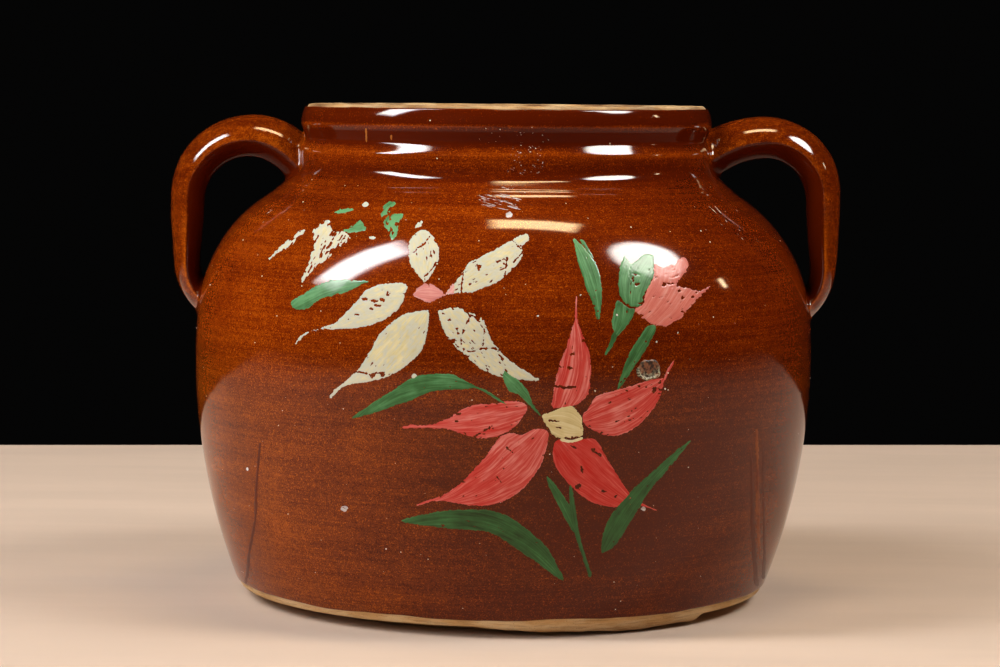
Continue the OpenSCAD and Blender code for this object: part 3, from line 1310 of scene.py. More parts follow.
@dataclass
class GlazeLining:
    """The glaze inside: floor, wall and neck, ending just below the lip."""

    shape: JarShape
    columns: int = 192
    row_step: float = 1.1
    back_rows: int = 24
    start: float = 1.0
    blur: float = 0.4
    edge_roll: float = 1.0
    under: float = 0.14
    waves: tuple[Ripple, ...] = (Ripple(0.05, (0.03, 0.03, 0.14)), Ripple(0.012, (0.02, 0.02, 0.4)))
    seed: int = 23

    def build(self, finish: GlazeFinish) -> bpy.types.Object:
        """Build and dress the lining.

        Args:
            finish: The glaze.

        Returns:
            The piece.
        """
        shape, noise = self.shape, LatticeNoise(self.seed)
        floor_z = shape.foot_h + shape.floor_t
        top_z = shape.rim_z - shape.rim_bare
        bore = shape.neck_r - shape.lining_inset
        clay = np.vstack([shape.inside(shape.lining_inset, floor_z), [[bore, top_z]]])
        line = SectionLine(clay, blur=self.blur)
        angles = np.linspace(0.0, 2 * math.pi, self.columns, endpoint=False)
        body = np.linspace(self.start, line.length - self.edge_roll, int(line.length / self.row_step))
        s = np.concatenate([body, line.length - self.edge_roll * ROLL_STEPS[::-1]])[:, None]
        edge = np.clip((line.length - s) / self.edge_roll, 0.0, 1.0)
        thick = shape.glaze_t * np.sqrt(1.0 - (1.0 - edge) ** 2)
        out_r, out_z = line.read(line.normal[:, 0], s), line.read(line.normal[:, 1], s)
        plain_r, plain_z = line.read(line.r, s), line.read(line.z, s)
        plain = turned(plain_r, plain_z, angles)
        uneven = sum(wave.at(noise, plain) for wave in self.waves)
        thick = thick + uneven.reshape(len(s), -1) * edge
        front = turned(plain_r - out_r * thick, plain_z - out_z * thick, angles)
        back_s = np.linspace(line.length, self.start, self.back_rows)[:, None]
        back_r = line.read(line.r, back_s) + self.under * line.read(line.normal[:, 0], back_s)
        back_z = line.read(line.z, back_s) + self.under * line.read(line.normal[:, 1], back_s)
        back = turned(back_r, back_z, angles)
        points = np.vstack([front, back])
        rows = len(points) // self.columns
        middle = np.array([[0.0, 0.0, floor_z + shape.glaze_t], [0.0, 0.0, floor_z - self.under]])
        faces = flipped(ring_faces(rows, self.columns)) + fan(len(points), 0, self.columns)
        faces += flipped(fan(len(points) + 1, (rows - 1) * self.columns, self.columns))
        pool_and_shade = np.tanh(POOL_BY_CURVE * line.read(line.curve, s)) * np.ones(self.columns)
        pool_and_shade = np.concatenate([pool_and_shade.ravel(), np.zeros(len(back) + 2)])
        piece = MeshPiece("glaze_lining")
        piece.add(np.vstack([points, middle]), faces, pool_and_shade=pool_and_shade)
        made = piece.write(finish.material())
        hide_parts("inner_glaze")
        return made


@dataclass
class ClayVessel:
    """The fired clay under the glazes, bare at the lip, at the foot and underneath."""

    shape: JarShape
    camera: PhotoCamera
    columns: int = 360
    flake_from: Point = (478.0, 622.0)
    flake_to: Point = (693.0, 612.0)
    flake_drop: float = 3.2
    flake_rise: float = 0.55
    flake_power: float = 0.8
    flake_end_a: float = 0.035
    flake_taper: float = 0.45
    flake_ragged: Ripple = Ripple(0.22, 14.0, layers=3)
    flake_gap: float = 0.5
    flake_run: float = 3.0
    flake_top_z: float = 8.0
    flake_tuck: float = 0.35
    flake_soil: float = 0.25
    most_flake_soil: float = 0.6
    hidden_inset: float = 1.6
    hidden_step: int = 14
    low_lap: float = 1.6
    high_lap: float = 1.4
    under_rows: int = 26
    foot_blur: float = 0.3
    outer_blur: float = 0.25
    bore_drop: float = 3.0
    bore_step: int = 24
    start: float = 1.0
    least_r: float = 0.9
    rough: tuple[Ripple, ...] = (Ripple(0.05, 0.5, layers=3), Ripple(0.05, 0.09, 3.0, 2))
    most_rough: float = 0.1
    lip_h: float = 4.0
    lip_dip: float = 0.16
    lip_wave: Ripple = Ripple(0.13, 0.12, 6.0, 3)
    least_dip: float = 0.02
    foot_soil: float = 0.45
    foot_soil_z: float = 3.4
    foot_soil_inset: float = 3.0
    lip_soil: float = 0.33
    lip_soil_wave: Ripple = Ripple(0.6, 0.09, layers=3)
    most_lip_soil: float = 0.85
    seed: int = 29
    flake_seed: int = 31
    crease: float = 50.0

    def section(self) -> tuple[np.ndarray, np.ndarray]:
        """Draw the closed section.

        Returns:
            Its points, and which of them show.
        """
        shape = self.shape
        inset = shape.skin + shape.glaze_t
        floor_z = shape.foot_h + shape.floor_t
        foot = SectionLine(shape.foot()[1:], blur=self.foot_blur)
        under = np.linspace(self.start, shape.foot()[1, 0], self.under_rows)
        outer = SectionLine(shape.outside(inset), blur=self.outer_blur)
        low = outer.z < shape.foot_h + shape.foot_bare + self.low_lap
        high = outer.z > shape.rim_z - shape.rim_bare - self.high_lap
        hidden = ~(low | high) & (np.arange(len(outer.z)) % self.hidden_step == 0)
        lip = SectionLine(np.vstack([[[outer.r[-1], outer.z[-1]]], shape.lip_inside()]))
        bore = shape.inside(shape.lining_inset, floor_z)[::-1]
        bore = SectionLine(np.vstack([[[lip.r[-1], shape.rim_z - self.bore_drop]], bore]))
        parts = [
            (np.column_stack([under, np.full(len(under), shape.foot_h)]), True),
            (np.column_stack([foot.r, foot.z])[1::2], True),
            (np.column_stack([outer.r, outer.z])[low][1::2], True),
            (np.column_stack([outer.r - self.hidden_inset, outer.z])[hidden], False),
            (np.column_stack([outer.r, outer.z])[high], True),
            (np.column_stack([lip.r, lip.z])[1:], True),
            (np.column_stack([bore.r, bore.z])[1 :: self.bore_step], False),
        ]
        points = np.vstack([part for part, _ in parts])
        shown = np.concatenate([np.full(len(part), show) for part, show in parts])
        keep = points[:, 0] > self.least_r
        return points[keep], shown[keep]

    def flake(self, angles: np.ndarray) -> np.ndarray:
        """How far the wall's lower edge hangs down, where the clay was left untrimmed.

        Args:
            angles: Angles round the jar.

        Returns:
            Drops in millimetres.
        """
        ends = [self.camera.on_level(end, self.shape.foot_h) for end in (self.flake_from, self.flake_to)]
        first, last = (math.atan2(end[1], end[0]) for end in ends)
        turn = np.mod(angles + math.pi, 2 * math.pi) - math.pi
        rise = np.clip((turn - first) / (self.flake_rise * (last - first)), 0.0, 1.0)
        end = np.clip((last - turn) / self.flake_end_a, 0.0, 1.0)
        taper = 1.0 - self.flake_taper * np.clip((turn - first) / (last - first), 0.0, 1.0)
        ring = np.column_stack([np.cos(angles), np.sin(angles), np.zeros(len(angles))])
        ragged = 1.0 + self.flake_ragged.at(LatticeNoise(self.flake_seed), ring)
        return self.flake_drop * rise**self.flake_power * (3 - 2 * end) * end**2 * taper * ragged

    def build(self, finish: ClayFinish) -> bpy.types.Object:
        """Build and dress the clay.

        Args:
            finish: The clay.

        Returns:
            The piece.
        """
        shape, noise = self.shape, LatticeNoise(self.seed)
        section, shown = self.section()
        angles = np.linspace(0.0, 2 * math.pi, self.columns, endpoint=False)
        points = turned(section[:, :1], section[:, 1:], angles)
        bare = np.repeat(shown, self.columns)
        rough = sum(wave.at(noise, points) for wave in self.rough)
        out = points[:, :2] / np.hypot(points[:, 0], points[:, 1])[:, None]
        at_lip = bare & (points[:, 2] > shape.rim_z - self.lip_h)
        points[:, :2] += out * np.where(bare, np.minimum(rough, self.most_rough), 0.0)[:, None]
        dip = self.lip_dip + self.lip_wave.at(noise, points)
        points[:, 2] -= np.where(at_lip, np.maximum(dip, self.least_dip), 0.0)
        edge_r = shape.base_d / 2
        ring_r = edge_r - shape.foot_inset + shape.foot_draft
        radius = np.hypot(points[:, 0], points[:, 1])
        near = np.clip((radius - ring_r - self.flake_gap) / self.flake_run, 0.0, 1.0)
        height = np.clip(shape.foot_h + 1.0 - points[:, 2], 0.0, 1.0)
        hung = np.tile(self.flake(angles), len(section)) * near * height
        hung *= bare & (points[:, 2] < self.flake_top_z)
        points[:, 2] -= hung
        points[:, :2] -= out * (self.flake_tuck * hung)[:, None]
        points[:, 2] = np.maximum(points[:, 2], 0.0)
        below = (points[:, 2] < self.foot_soil_z) & (radius < edge_r - self.foot_soil_inset)
        soil = np.where(below, self.foot_soil, np.clip(self.flake_soil * hung, 0.0, self.most_flake_soil))
        top = self.lip_soil + self.lip_soil_wave.at(noise, points)
        soil = np.maximum(soil, np.clip(np.where(at_lip, top, 0.0), 0.0, self.most_lip_soil))
        centre = np.array([[0.0, 0.0, section[0, 1]], [0.0, 0.0, section[-1, 1]]])
        faces = ring_faces(len(section), self.columns) + flipped(fan(len(points), 0, self.columns))
        faces += fan(len(points) + 1, (len(section) - 1) * self.columns, self.columns)
        piece = MeshPiece("clay_vessel")
        piece.add(np.vstack([points, centre]), faces, soil=np.concatenate([soil, [self.foot_soil, 0.0]]))
        made = piece.write(finish.material(), self.crease)
        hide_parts("jar_body")
        return made


class Side(Enum):
    """Which side of the jar a handle is on, as its sign along X."""

    LEFT = -1
    RIGHT = 1


@dataclass
class PulledHandle:
    """One arched handle, with its own glaze, run smoothly onto the neck and the shoulder."""

    wall: GlazedWall
    side: Side
    leg_standoff: float = 3.4
    handle_drop: float = 11.6
    root_rise_a: float = math.radians(36.0)
    root_arc_r: float = 26.0
    root_out: float = 4.2
    end_sink: float = 5.0
    land_rise: float = 32.0
    land_arc_r: float = 18.0
    land_a: float = math.radians(48.0)
    leg_lean_a: float = math.radians(0.8)
    thickness: tuple[float, ...] = (16.5, 14.8, 11.4, 9.0)
    width: tuple[float, ...] = (28.0, 26.0, 24.5, 27.0)
    outer_share: float = 0.58
    edge_power: float = 1.4
    end_share: float = 0.7
    uneven: Ripple = Ripple(0.22, 0.07, layers=2)
    # Painted shade on each handle's inner side, which faces the jar, away from the lamps.
    inner_shade: float = 1.6
    inner_turn: float = 0.35
    ridge_thin: float = 0.9
    ridge_at: float = 0.08
    ridge_spread: float = 0.24
    ridge_wave: Ripple = Ripple(0.9, 0.08, layers=2)
    path_step: float = 0.25
    bend_blur: float = 2.0
    section_blur: float = 5.0
    cap_sink: float = 2.0
    fillet_sink: float = 0.05
    sides: int = 64
    rings: int = 150
    fillet_rings: int = 12
    root_fillet: float = 3.4
    top_fillet: float = 2.2
    land_fillet: float = 3.6
    over_run: float = 12.0
    seed: int = 41
    ridge_seed: int = 43

    def path(self) -> tuple[np.ndarray, np.ndarray, np.ndarray, np.ndarray]:
        """Draw the handle's middle line in the plane of X and Z.

        Returns:
            Distances along it, its points, its headings, and the distances of the named sections.
        """
        shape = self.wall.shape
        reach = shape.belly_d / 2 + self.leg_standoff
        bend_r = reach - shape.neck_r - self.root_out - self.root_arc_r * math.sin(self.root_rise_a)
        root_run = (self.root_out + self.end_sink) / math.cos(self.root_rise_a)
        leg_run = shape.rim_z - self.handle_drop - bend_r - shape.belly_h - self.land_rise
        bend_a = math.pi / 2 - self.leg_lean_a
        steps = np.array([
            [root_run, 0.0],
            [self.root_arc_r * self.root_rise_a, -self.root_rise_a],
            [bend_r * bend_a, -bend_a],
            [leg_run, 0.0],
            [self.land_arc_r * self.land_a, -self.land_a],
            [self.over_run, 0.0],
        ])
        ends = np.cumsum(steps[:, 0])
        s = np.linspace(0.0, ends[-1], int(ends[-1] / self.path_step))
        part = np.minimum(np.searchsorted(ends, s), len(ends) - 1)
        gap = s[1] - s[0]
        rate = blurred(steps[part, 1] / steps[part, 0], self.bend_blur / gap)
        heading = self.root_rise_a + np.concatenate([[0.0], np.cumsum((rate[1:] + rate[:-1]) / 2) * gap])
        move = np.column_stack([np.cos(heading), np.sin(heading)])
        move = np.vstack([[[0.0, 0.0]], np.cumsum((move[1:] + move[:-1]) / 2, axis=0) * gap])
        level = self.root_arc_r * (1 - math.cos(self.root_rise_a)) + root_run * math.sin(self.root_rise_a)
        start = np.array([shape.neck_r - self.end_sink, shape.rim_z - self.handle_drop - level])
        named = np.array([
            root_run,
            ends[1] + steps[2, 0] / 2,
            ends[2] + leg_run / 2,
            ends[3] + self.end_share * steps[4, 0],
        ])
        return s, start + move, heading, named

    def bars(self) -> tuple[np.ndarray, np.ndarray, np.ndarray]:
        """Draw the lines that run the length of the handle, side by side.

        Returns:
            Distances along the handle, points by distance and side, and outward directions.
        """
        s, middle, heading, named = self.path()
        noise = LatticeNoise(self.seed + self.side.value)
        slim = 2 * self.wall.shape.skin
        blur = self.section_blur / (s[1] - s[0])
        t, w = (blurred(np.interp(s, named, sizes), blur) - slim for sizes in (self.thickness, self.width))
        a = np.linspace(0.0, 2 * math.pi, self.sides, endpoint=False)
        half = np.where(np.cos(a) > 0.0, self.outer_share, 1.0 - self.outer_share)
        u = half * np.sign(np.cos(a)) * np.abs(np.cos(a)) ** (2 / self.edge_power) + 0.5 - self.outer_share
        v = np.sin(a) / 2
        across = np.column_stack([-np.sin(heading), np.zeros(len(s)), np.cos(heading)])
        centre = np.column_stack([middle[:, 0], np.zeros(len(s)), middle[:, 1]])
        lines = centre[:, None, :] + (t[:, None] * u)[..., None] * across[:, None, :]
        lines[..., 1] += w[:, None] * v
        away = lines - centre[:, None, :]
        away /= np.linalg.norm(away, axis=-1, keepdims=True)
        uneven = self.uneven.at(noise, lines.reshape(-1, 3)).reshape(lines.shape[:2])
        lines += away * (uneven - self.uneven.depth)[..., None]
        return s, lines, away

    def build(self, finish: GlazeFinish, name: str, node: str, slot: str) -> bpy.types.Object:
        """Build and dress the handle.

        Args:
            finish: The glaze.
            name: Name of the piece.
            node: The solid that it stands for.
            slot: Not used.

        Returns:
            The piece.
        """
        s, lines, away = self.bars()
        gap = self.wall.gap(lines)
        half = len(s) // 2
        side = np.arange(self.sides)
        root_i = half - np.argmax(gap[half:0:-1] < 0.0, axis=0)
        land_i = half + np.argmax(gap[half:] < 0.0, axis=0)
        angle = 2 * math.pi * side / self.sides
        topside = np.clip(np.cos(angle), 0.0, 1.0) ** 2
        root_d = self.root_fillet + (self.top_fillet - self.root_fillet) * topside
        step = s[1] - s[0]
        first = root_i + root_d / step
        last = land_i - self.land_fillet / step
        share = np.linspace(0.0, 1.0, self.rings)[:, None]
        index = first + share * (last - first)
        body = self.read(lines, index)
        root = self.fillet(body[0], lines[root_i, side], away[root_i, side], root_d)[::-1]
        land_d = np.full(self.sides, self.land_fillet)
        land = self.fillet(body[-1], lines[land_i, side], away[land_i, side], land_d)
        grid = np.concatenate([root[:-1], body, land[1:]])
        points = grid.reshape(-1, 3)
        faces = ring_faces(len(grid), self.sides) + flipped(fan(len(points), 0, self.sides))
        faces += fan(len(points) + 1, (len(grid) - 1) * self.sides, self.sides)
        # Painted shade on the inner side; the glaze thins on the ridge.
        pool_and_shade = self.inner_shade * np.clip(-np.cos(angle) / self.inner_turn, 0.0, 1.0)
        ridge = self.ridge_thin * np.exp(-(((np.cos(angle) - self.ridge_at) / self.ridge_spread) ** 2))
        thin = 1.0 + self.ridge_wave.at(LatticeNoise(self.ridge_seed), points)
        pool_and_shade = np.tile(pool_and_shade, len(grid)) - np.tile(ridge, len(grid)) * thin
        inward = np.array([[self.cap_sink, 0.0, 0.0]])
        points = np.vstack([points, grid[0].mean(axis=0) - inward, grid[-1].mean(axis=0) - inward])
        if self.side is Side.LEFT:
            points = points * (-1.0, 1.0, 1.0)
        else:
            faces = flipped(faces)
        piece = MeshPiece(name)
        piece.add(points, faces, pool_and_shade=np.concatenate([pool_and_shade, [0.0, 0.0]]))
        made = piece.write(finish.material())
        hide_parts(node)
        return made

    def read(self, lines: np.ndarray, index: np.ndarray) -> np.ndarray:
        """Read points of the long lines between their steps.

        Args:
            lines: Points by step and side.
            index: Steps, with a column for each side.

        Returns:
            Points by row and side.
        """
        index = np.clip(index, 0.0, len(lines) - 1.001)
        low = np.floor(index).astype(int)
        t = (index - low)[..., None]
        side = np.broadcast_to(np.arange(self.sides), index.shape)
        return lines[low, side] * (1 - t) + lines[low + 1, side] * t

    def fillet(self, start: np.ndarray, hit: np.ndarray, away: np.ndarray, size: np.ndarray) -> np.ndarray:
        """Run the handle's lines smoothly onto the wall.

        Args:
            start: Where each line leaves the handle.
            hit: Where it would meet the wall.
            away: Its direction away from the handle's middle.
            size: Length of the run along the wall.

        Returns:
            Rings of points from the handle to the wall.
        """
        out = self.wall.normals(hit)
        along = away - (away * out).sum(axis=1)[:, None] * out
        along /= np.linalg.norm(along, axis=1)[:, None]
        foot = hit + along * size[:, None]
        angle = np.arctan2(foot[:, 1], foot[:, 0])
        r = self.wall.radius(foot[:, 2])
        foot = np.column_stack([r * np.cos(angle), r * np.sin(angle), foot[:, 2]])
        foot = self.wall.lifted(foot, -self.fillet_sink)
        t = np.linspace(0.0, 1.0, self.fillet_rings)[:, None, None]
        return (1 - t) ** 2 * start + 2 * t * (1 - t) * hit + t**2 * foot


@dataclass(frozen=True)
class Stroke:
    """One brush stroke, drawn in pixels of the photograph's frame.

    The tint runs from the root to the tip, wear takes paint off, and edge is how ragged the rim is.
    """

    outline: tuple[Point, ...]
    root: Point
    tint: float = 0.0
    tip_tint: float | None = None
    wear: float = 0.12
    edge: float = 0.7
    lift: float = 0.0
    grid: float = 0.7
    cracks: tuple[tuple[Point, ...], ...] = ()
    chips: tuple[tuple[float, float, float, float], ...] = ()


class StrokeFilm:
    """Turns strokes into thin closed films of paint that lie on the glaze.

    Thicknesses are in millimetres, and the sizes of wear and of edges in pixels. A shift sets one use of
    the noise apart from the others.
    """

    THICK = 0.08
    EDGE_THICK = 0.02
    SUNK = 0.06
    MARGIN = 3.0
    CORE = 5.5
    EDGE = 1.6
    RAGGED = (2.0, 2.0, 1.0)
    WAVY = (6.0, 6.0, 1.0)
    WAVY_SHARE = 0.5
    WAVY_SHIFT = 5.0
    HAIR = (5.0, 1.7)
    PATCH = (9.0, 9.0, 1.0)
    PATCH_SHIFT = 17.0
    SOUND = 1.06
    FLAKING = 0.7
    PATCHING = 0.5
    FLAKE_SLOPE = 3.0
    FLAKE_SHIFT = 11.0
    CRACK = 0.75
    CRACK_LEAST = 0.9
    CRACK_RAGGED = 1.6
    CRACK_GRAIN = (1.9, 1.9, 1.0)
    CRACK_SLOPE = 1.5
    CRACK_SHIFT = 29.0
    CHIP_RAGGED = 0.9
    CHIP_GRAIN = (1.8, 1.8, 1.0)
    CHIP_SHIFT = 37.0
    STROKE_SHIFT = 3.7
    HAIR_SHIFT = 5.1
    BINS = 10
    NEAREST = 0.06
    SEED = 53

    def __init__(self, wall: GlazedWall, camera: PhotoCamera) -> None:
        """Remember the wall to paint and the camera that the strokes are drawn for.

        Args:
            wall: The wall.
            camera: The camera.
        """
        self.wall = wall
        self.camera = camera
        self.noise = LatticeNoise(self.SEED)

    @staticmethod
    def smooth(outline: tuple[Point, ...], steps: int = 5) -> np.ndarray:
        """Draw a smooth closed curve through points.

        Args:
            outline: The points.
            steps: Number of steps from one point to the next.

        Returns:
            The curve's points.
        """
        p = np.array(outline)
        before, after, later = np.roll(p, 1, 0), np.roll(p, -1, 0), np.roll(p, -2, 0)
        t = np.linspace(0.0, 1.0, steps, endpoint=False)[:, None, None]
        bend = 2 * before - 5 * p + 4 * after - later
        twist = 3 * p - before - 3 * after + later
        curve = 0.5 * (2 * p + (after - before) * t + bend * t**2 + twist * t**3)
        return curve.transpose(1, 0, 2).reshape(-1, 2)

    @staticmethod
    def distance(points: np.ndarray, line: np.ndarray, closed: bool) -> np.ndarray:
        """Distance of points from a line.

        Args:
            points: The points.
            line: Corners of the line.
            closed: Whether the line runs back to its start.

        Returns:
            One distance for each point.
        """
        nearest = np.full(len(points), np.inf)
        ends = np.roll(line, -1, 0) if closed else line[1:]
        for a, b in zip(line, ends):
            run = b - a
            t = np.clip((points - a) @ run / max(run @ run, 1e-9), 0.0, 1.0)
            nearest = np.minimum(nearest, np.hypot(*(points - a - t[:, None] * run).T))
        return nearest

    @staticmethod
    def inside(points: np.ndarray, line: np.ndarray) -> np.ndarray:
        """Which points lie inside a closed line.

        Args:
            points: The points.
            line: Corners of the line.

        Returns:
            One answer for each point.
        """
        found = np.zeros(len(points), bool)
        x, y = points.T
        for (ax, ay), (bx, by) in zip(line, np.roll(line, -1, 0)):
            if ay != by:
                found ^= ((ay > y) != (by > y)) & (x < (bx - ax) * (y - ay) / (by - ay) + ax)
        return found

    def field(self, stroke: Stroke, grid: np.ndarray, order: int) -> np.ndarray:
        """How deep inside the paint grid points lie.

        Args:
            stroke: The stroke.
            grid: The points, in pixels.
            order: Number of the stroke, which sets its wear apart from the others'.

        Returns:
            Depths in pixels, below zero outside the paint.
        """
        line = self.smooth(stroke.outline)
        depth = self.distance(grid, line, True)
        depth = np.where(self.inside(grid, line), depth, -depth)
        spot = np.column_stack([grid, np.full(len(grid), self.STROKE_SHIFT * order)])
        depth = depth + stroke.edge * self.noise.layered(spot / self.RAGGED, 2)
        depth = depth + self.WAVY_SHARE * stroke.edge * self.noise.at(spot / self.WAVY + self.WAVY_SHIFT)
        way = line.mean(axis=0) - stroke.root
        way /= max(np.hypot(*way), 1e-6)
        along, across = grid @ way / self.HAIR[0], grid @ np.array([-way[1], way[0]]) / self.HAIR[1]
        flakes = self.noise.layered(np.column_stack([along, across, spot[:, 2]]) + self.FLAKE_SHIFT, 2)
        patches = self.noise.layered(spot / self.PATCH + self.PATCH_SHIFT, 2)
        limit = self.SOUND - self.FLAKING * stroke.wear - self.PATCHING * stroke.wear * patches
        depth = np.minimum(depth, (limit - flakes) * self.FLAKE_SLOPE)
        for crack in stroke.cracks:
            gap = self.distance(grid, np.array(crack), False)
            ragged = self.noise.layered(spot / self.CRACK_GRAIN + self.CRACK_SHIFT, 2)
            open_by = self.CRACK * (self.CRACK_LEAST + self.CRACK_RAGGED * ragged)
            depth = np.minimum(depth, (gap - open_by) * self.CRACK_SLOPE)
        for x, y, rx, ry in stroke.chips:
            ragged = self.noise.layered(spot / self.CHIP_GRAIN + self.CHIP_SHIFT, 2)
            reach = 1.0 + self.CHIP_RAGGED * ragged
            gap = np.hypot((grid[:, 0] - x) / rx, (grid[:, 1] - y) / ry) - reach
            depth = np.minimum(depth, gap * min(rx, ry))
        return depth

    def add(self, piece: MeshPiece, stroke: Stroke, order: int) -> None:
        """Add the film of one stroke to a piece.

        Args:
            piece: The piece.
            stroke: The stroke.
            order: Number of the stroke.
        """
        corners = np.array(stroke.outline)
        low, high = corners.min(axis=0) - self.MARGIN, corners.max(axis=0) + self.MARGIN
        xs, ys = np.arange(low[0], high[0], stroke.grid), np.arange(low[1], high[1], stroke.grid)
        grid = np.stack(np.meshgrid(xs, ys), axis=-1)
        depth = self.field(stroke, grid.reshape(-1, 2), order).reshape(grid.shape[:2])
        pixels, faces = self.cells(grid, depth)
        if not faces:
            return
        at = (pixels - low) / stroke.grid
        inner = self.sample(depth, at)
        rim = np.clip(inner / self.EDGE, 0.0, 1.0)
        height = self.EDGE_THICK + (self.THICK - self.EDGE_THICK) * rim * (2 - rim) + stroke.lift
        plain = self.wall.cast(self.camera.eye, self.camera.rays(pixels))
        top = self.wall.lifted(plain, height)
        bottom = self.wall.lifted(plain, -self.SUNK)
        count = len(pixels)
        joined = {(a, b) for face in faces for a, b in zip(face, face[1:] + face[:1])}
        skirt = [(b, a, a + count, b + count) for a, b in joined if (b, a) not in joined]
        under = [tuple(i + count for i in face[::-1]) for face in faces]
        path, share = self.brush(stroke, pixels)
        path = path * self.camera.distance / self.camera.focal_px
        path = np.column_stack([path, np.full(count, self.HAIR_SHIFT * order)])
        tip = stroke.tint if stroke.tip_tint is None else stroke.tip_tint
        tint = stroke.tint + (tip - stroke.tint) * share
        core = np.clip(inner / self.CORE, 0.0, 1.0)
        piece.add(np.vstack([top, bottom]), faces + skirt + under, stroke=np.vstack([path, path]),
                  tint=np.concatenate([tint, tint]), core=np.concatenate([core, core]))

    @staticmethod
    def sample(field: np.ndarray, at: np.ndarray) -> np.ndarray:
        """Read a field between its grid points, by column and row.

        Args:
            field: Values by row and column.
            at: Column and row of each place.

        Returns:
            One value for each place.
        """
        i = np.clip(at[:, 0].astype(int), 0, field.shape[1] - 2)
        j = np.clip(at[:, 1].astype(int), 0, field.shape[0] - 2)
        u, v = at[:, 0] - i, at[:, 1] - j
        upper = field[j, i] * (1 - u) + field[j, i + 1] * u
        return upper * (1 - v) + (field[j + 1, i] * (1 - u) + field[j + 1, i + 1] * u) * v

    def brush(self, stroke: Stroke, pixels: np.ndarray) -> tuple[np.ndarray, np.ndarray]:
        """Follow the hairs of the brush.

        Args:
            stroke: The stroke.
            pixels: Points of its film.

        Returns:
            Distance along and across the stroke at each point, and the share of the way to its tip.
        """
        middle = pixels.mean(axis=0)
        _, _, axes = np.linalg.svd(pixels - middle, full_matrices=False)
        axis = axes[0] if (np.array(stroke.root) - middle) @ axes[0] < 0 else -axes[0]
        along = (pixels - middle) @ axis
        across = (pixels - middle) @ np.array([-axis[1], axis[0]])
        bow = np.polyfit(along, across, 2)
        across = across - np.polyval(bow, along)
        share = (along - along.min()) / max(np.ptp(along), 1e-6)
        bins = np.minimum((share * self.BINS).astype(int), self.BINS - 1)
        reach = np.array([np.abs(across[bins == b]).max(initial=1.0) for b in range(self.BINS)])
        spread = np.interp(share, (np.arange(self.BINS) + 0.5) / self.BINS, reach)
        across = across / spread * reach.mean()
        return np.column_stack([along, across]), share

    @staticmethod
    def cells(grid: np.ndarray, depth: np.ndarray) -> tuple[np.ndarray, list[Face]]:
        """Cut the painted part out of a grid, with its rim between the grid's points.

        Args:
            grid: Pixel of each grid point, by row and column.
            depth: Depth inside the paint, likewise.

        Returns:
            The film's points in pixels, and its faces.
        """
        full = depth > 0.0
        number = np.full(full.shape, -1)
        number[full] = np.arange(full.sum())
        points = [grid[full]]
        count = int(full.sum())
        crossings = []
        for axis in (0, 1):
            a = (slice(None, -1), slice(None)) if axis == 0 else (slice(None), slice(None, -1))
            b = (slice(1, None), slice(None)) if axis == 0 else (slice(None), slice(1, None))
            cut = full[a] != full[b]
            t = depth[a][cut] / (depth[a][cut] - depth[b][cut])
            t = np.clip(t, StrokeFilm.NEAREST, 1.0 - StrokeFilm.NEAREST)[:, None]
            points.append(grid[a][cut] * (1 - t) + grid[b][cut] * t)
            index = np.full(cut.shape, -1)
            index[cut] = count + np.arange(cut.sum())
            count += int(cut.sum())
            crossings.append(index)
        down, over = crossings
        corners = full[:-1, :-1].astype(int) + full[1:, :-1] + full[1:, 1:] + full[:-1, 1:]
        j, i = np.nonzero(corners == 4)
        quads = np.column_stack([number[j, i], number[j + 1, i], number[j + 1, i + 1], number[j, i + 1]])
        faces = [tuple(quad) for quad in quads.tolist()]
        for j, i in zip(*np.nonzero((corners > 0) & (corners < 4))):
            around = (number[j, i], number[j + 1, i], number[j + 1, i + 1], number[j, i + 1])
            between = (down[j, i], over[j + 1, i], down[j, i + 1], over[j, i])
            face = [int(v) for pair in zip(around, between) for v in pair if v >= 0]
            faces.append(tuple(face))
        return np.vstack(points), faces


class Paint(Enum):
    """The pots of paint and glaze that the strokes are made with, by the name of their piece."""

    CREAM = "petals_cream"
    PINK = "heart_pink"
    CORAL = "petals_coral"
    HEART = "heart_cream"
    BUD = "bud_coral"
    LEAF = "leaves_green"
    # Scuffs, and painted reflections of the handles on the shoulders.
    SCUFF = "shelf_scuffs"
    # Runs of the glaze, with a painted highlight along one of them.
    RUN = "glaze_runs"


CREAM_ROOT = (428.0, 297.0)
CORAL_ROOT = (563.0, 424.0)

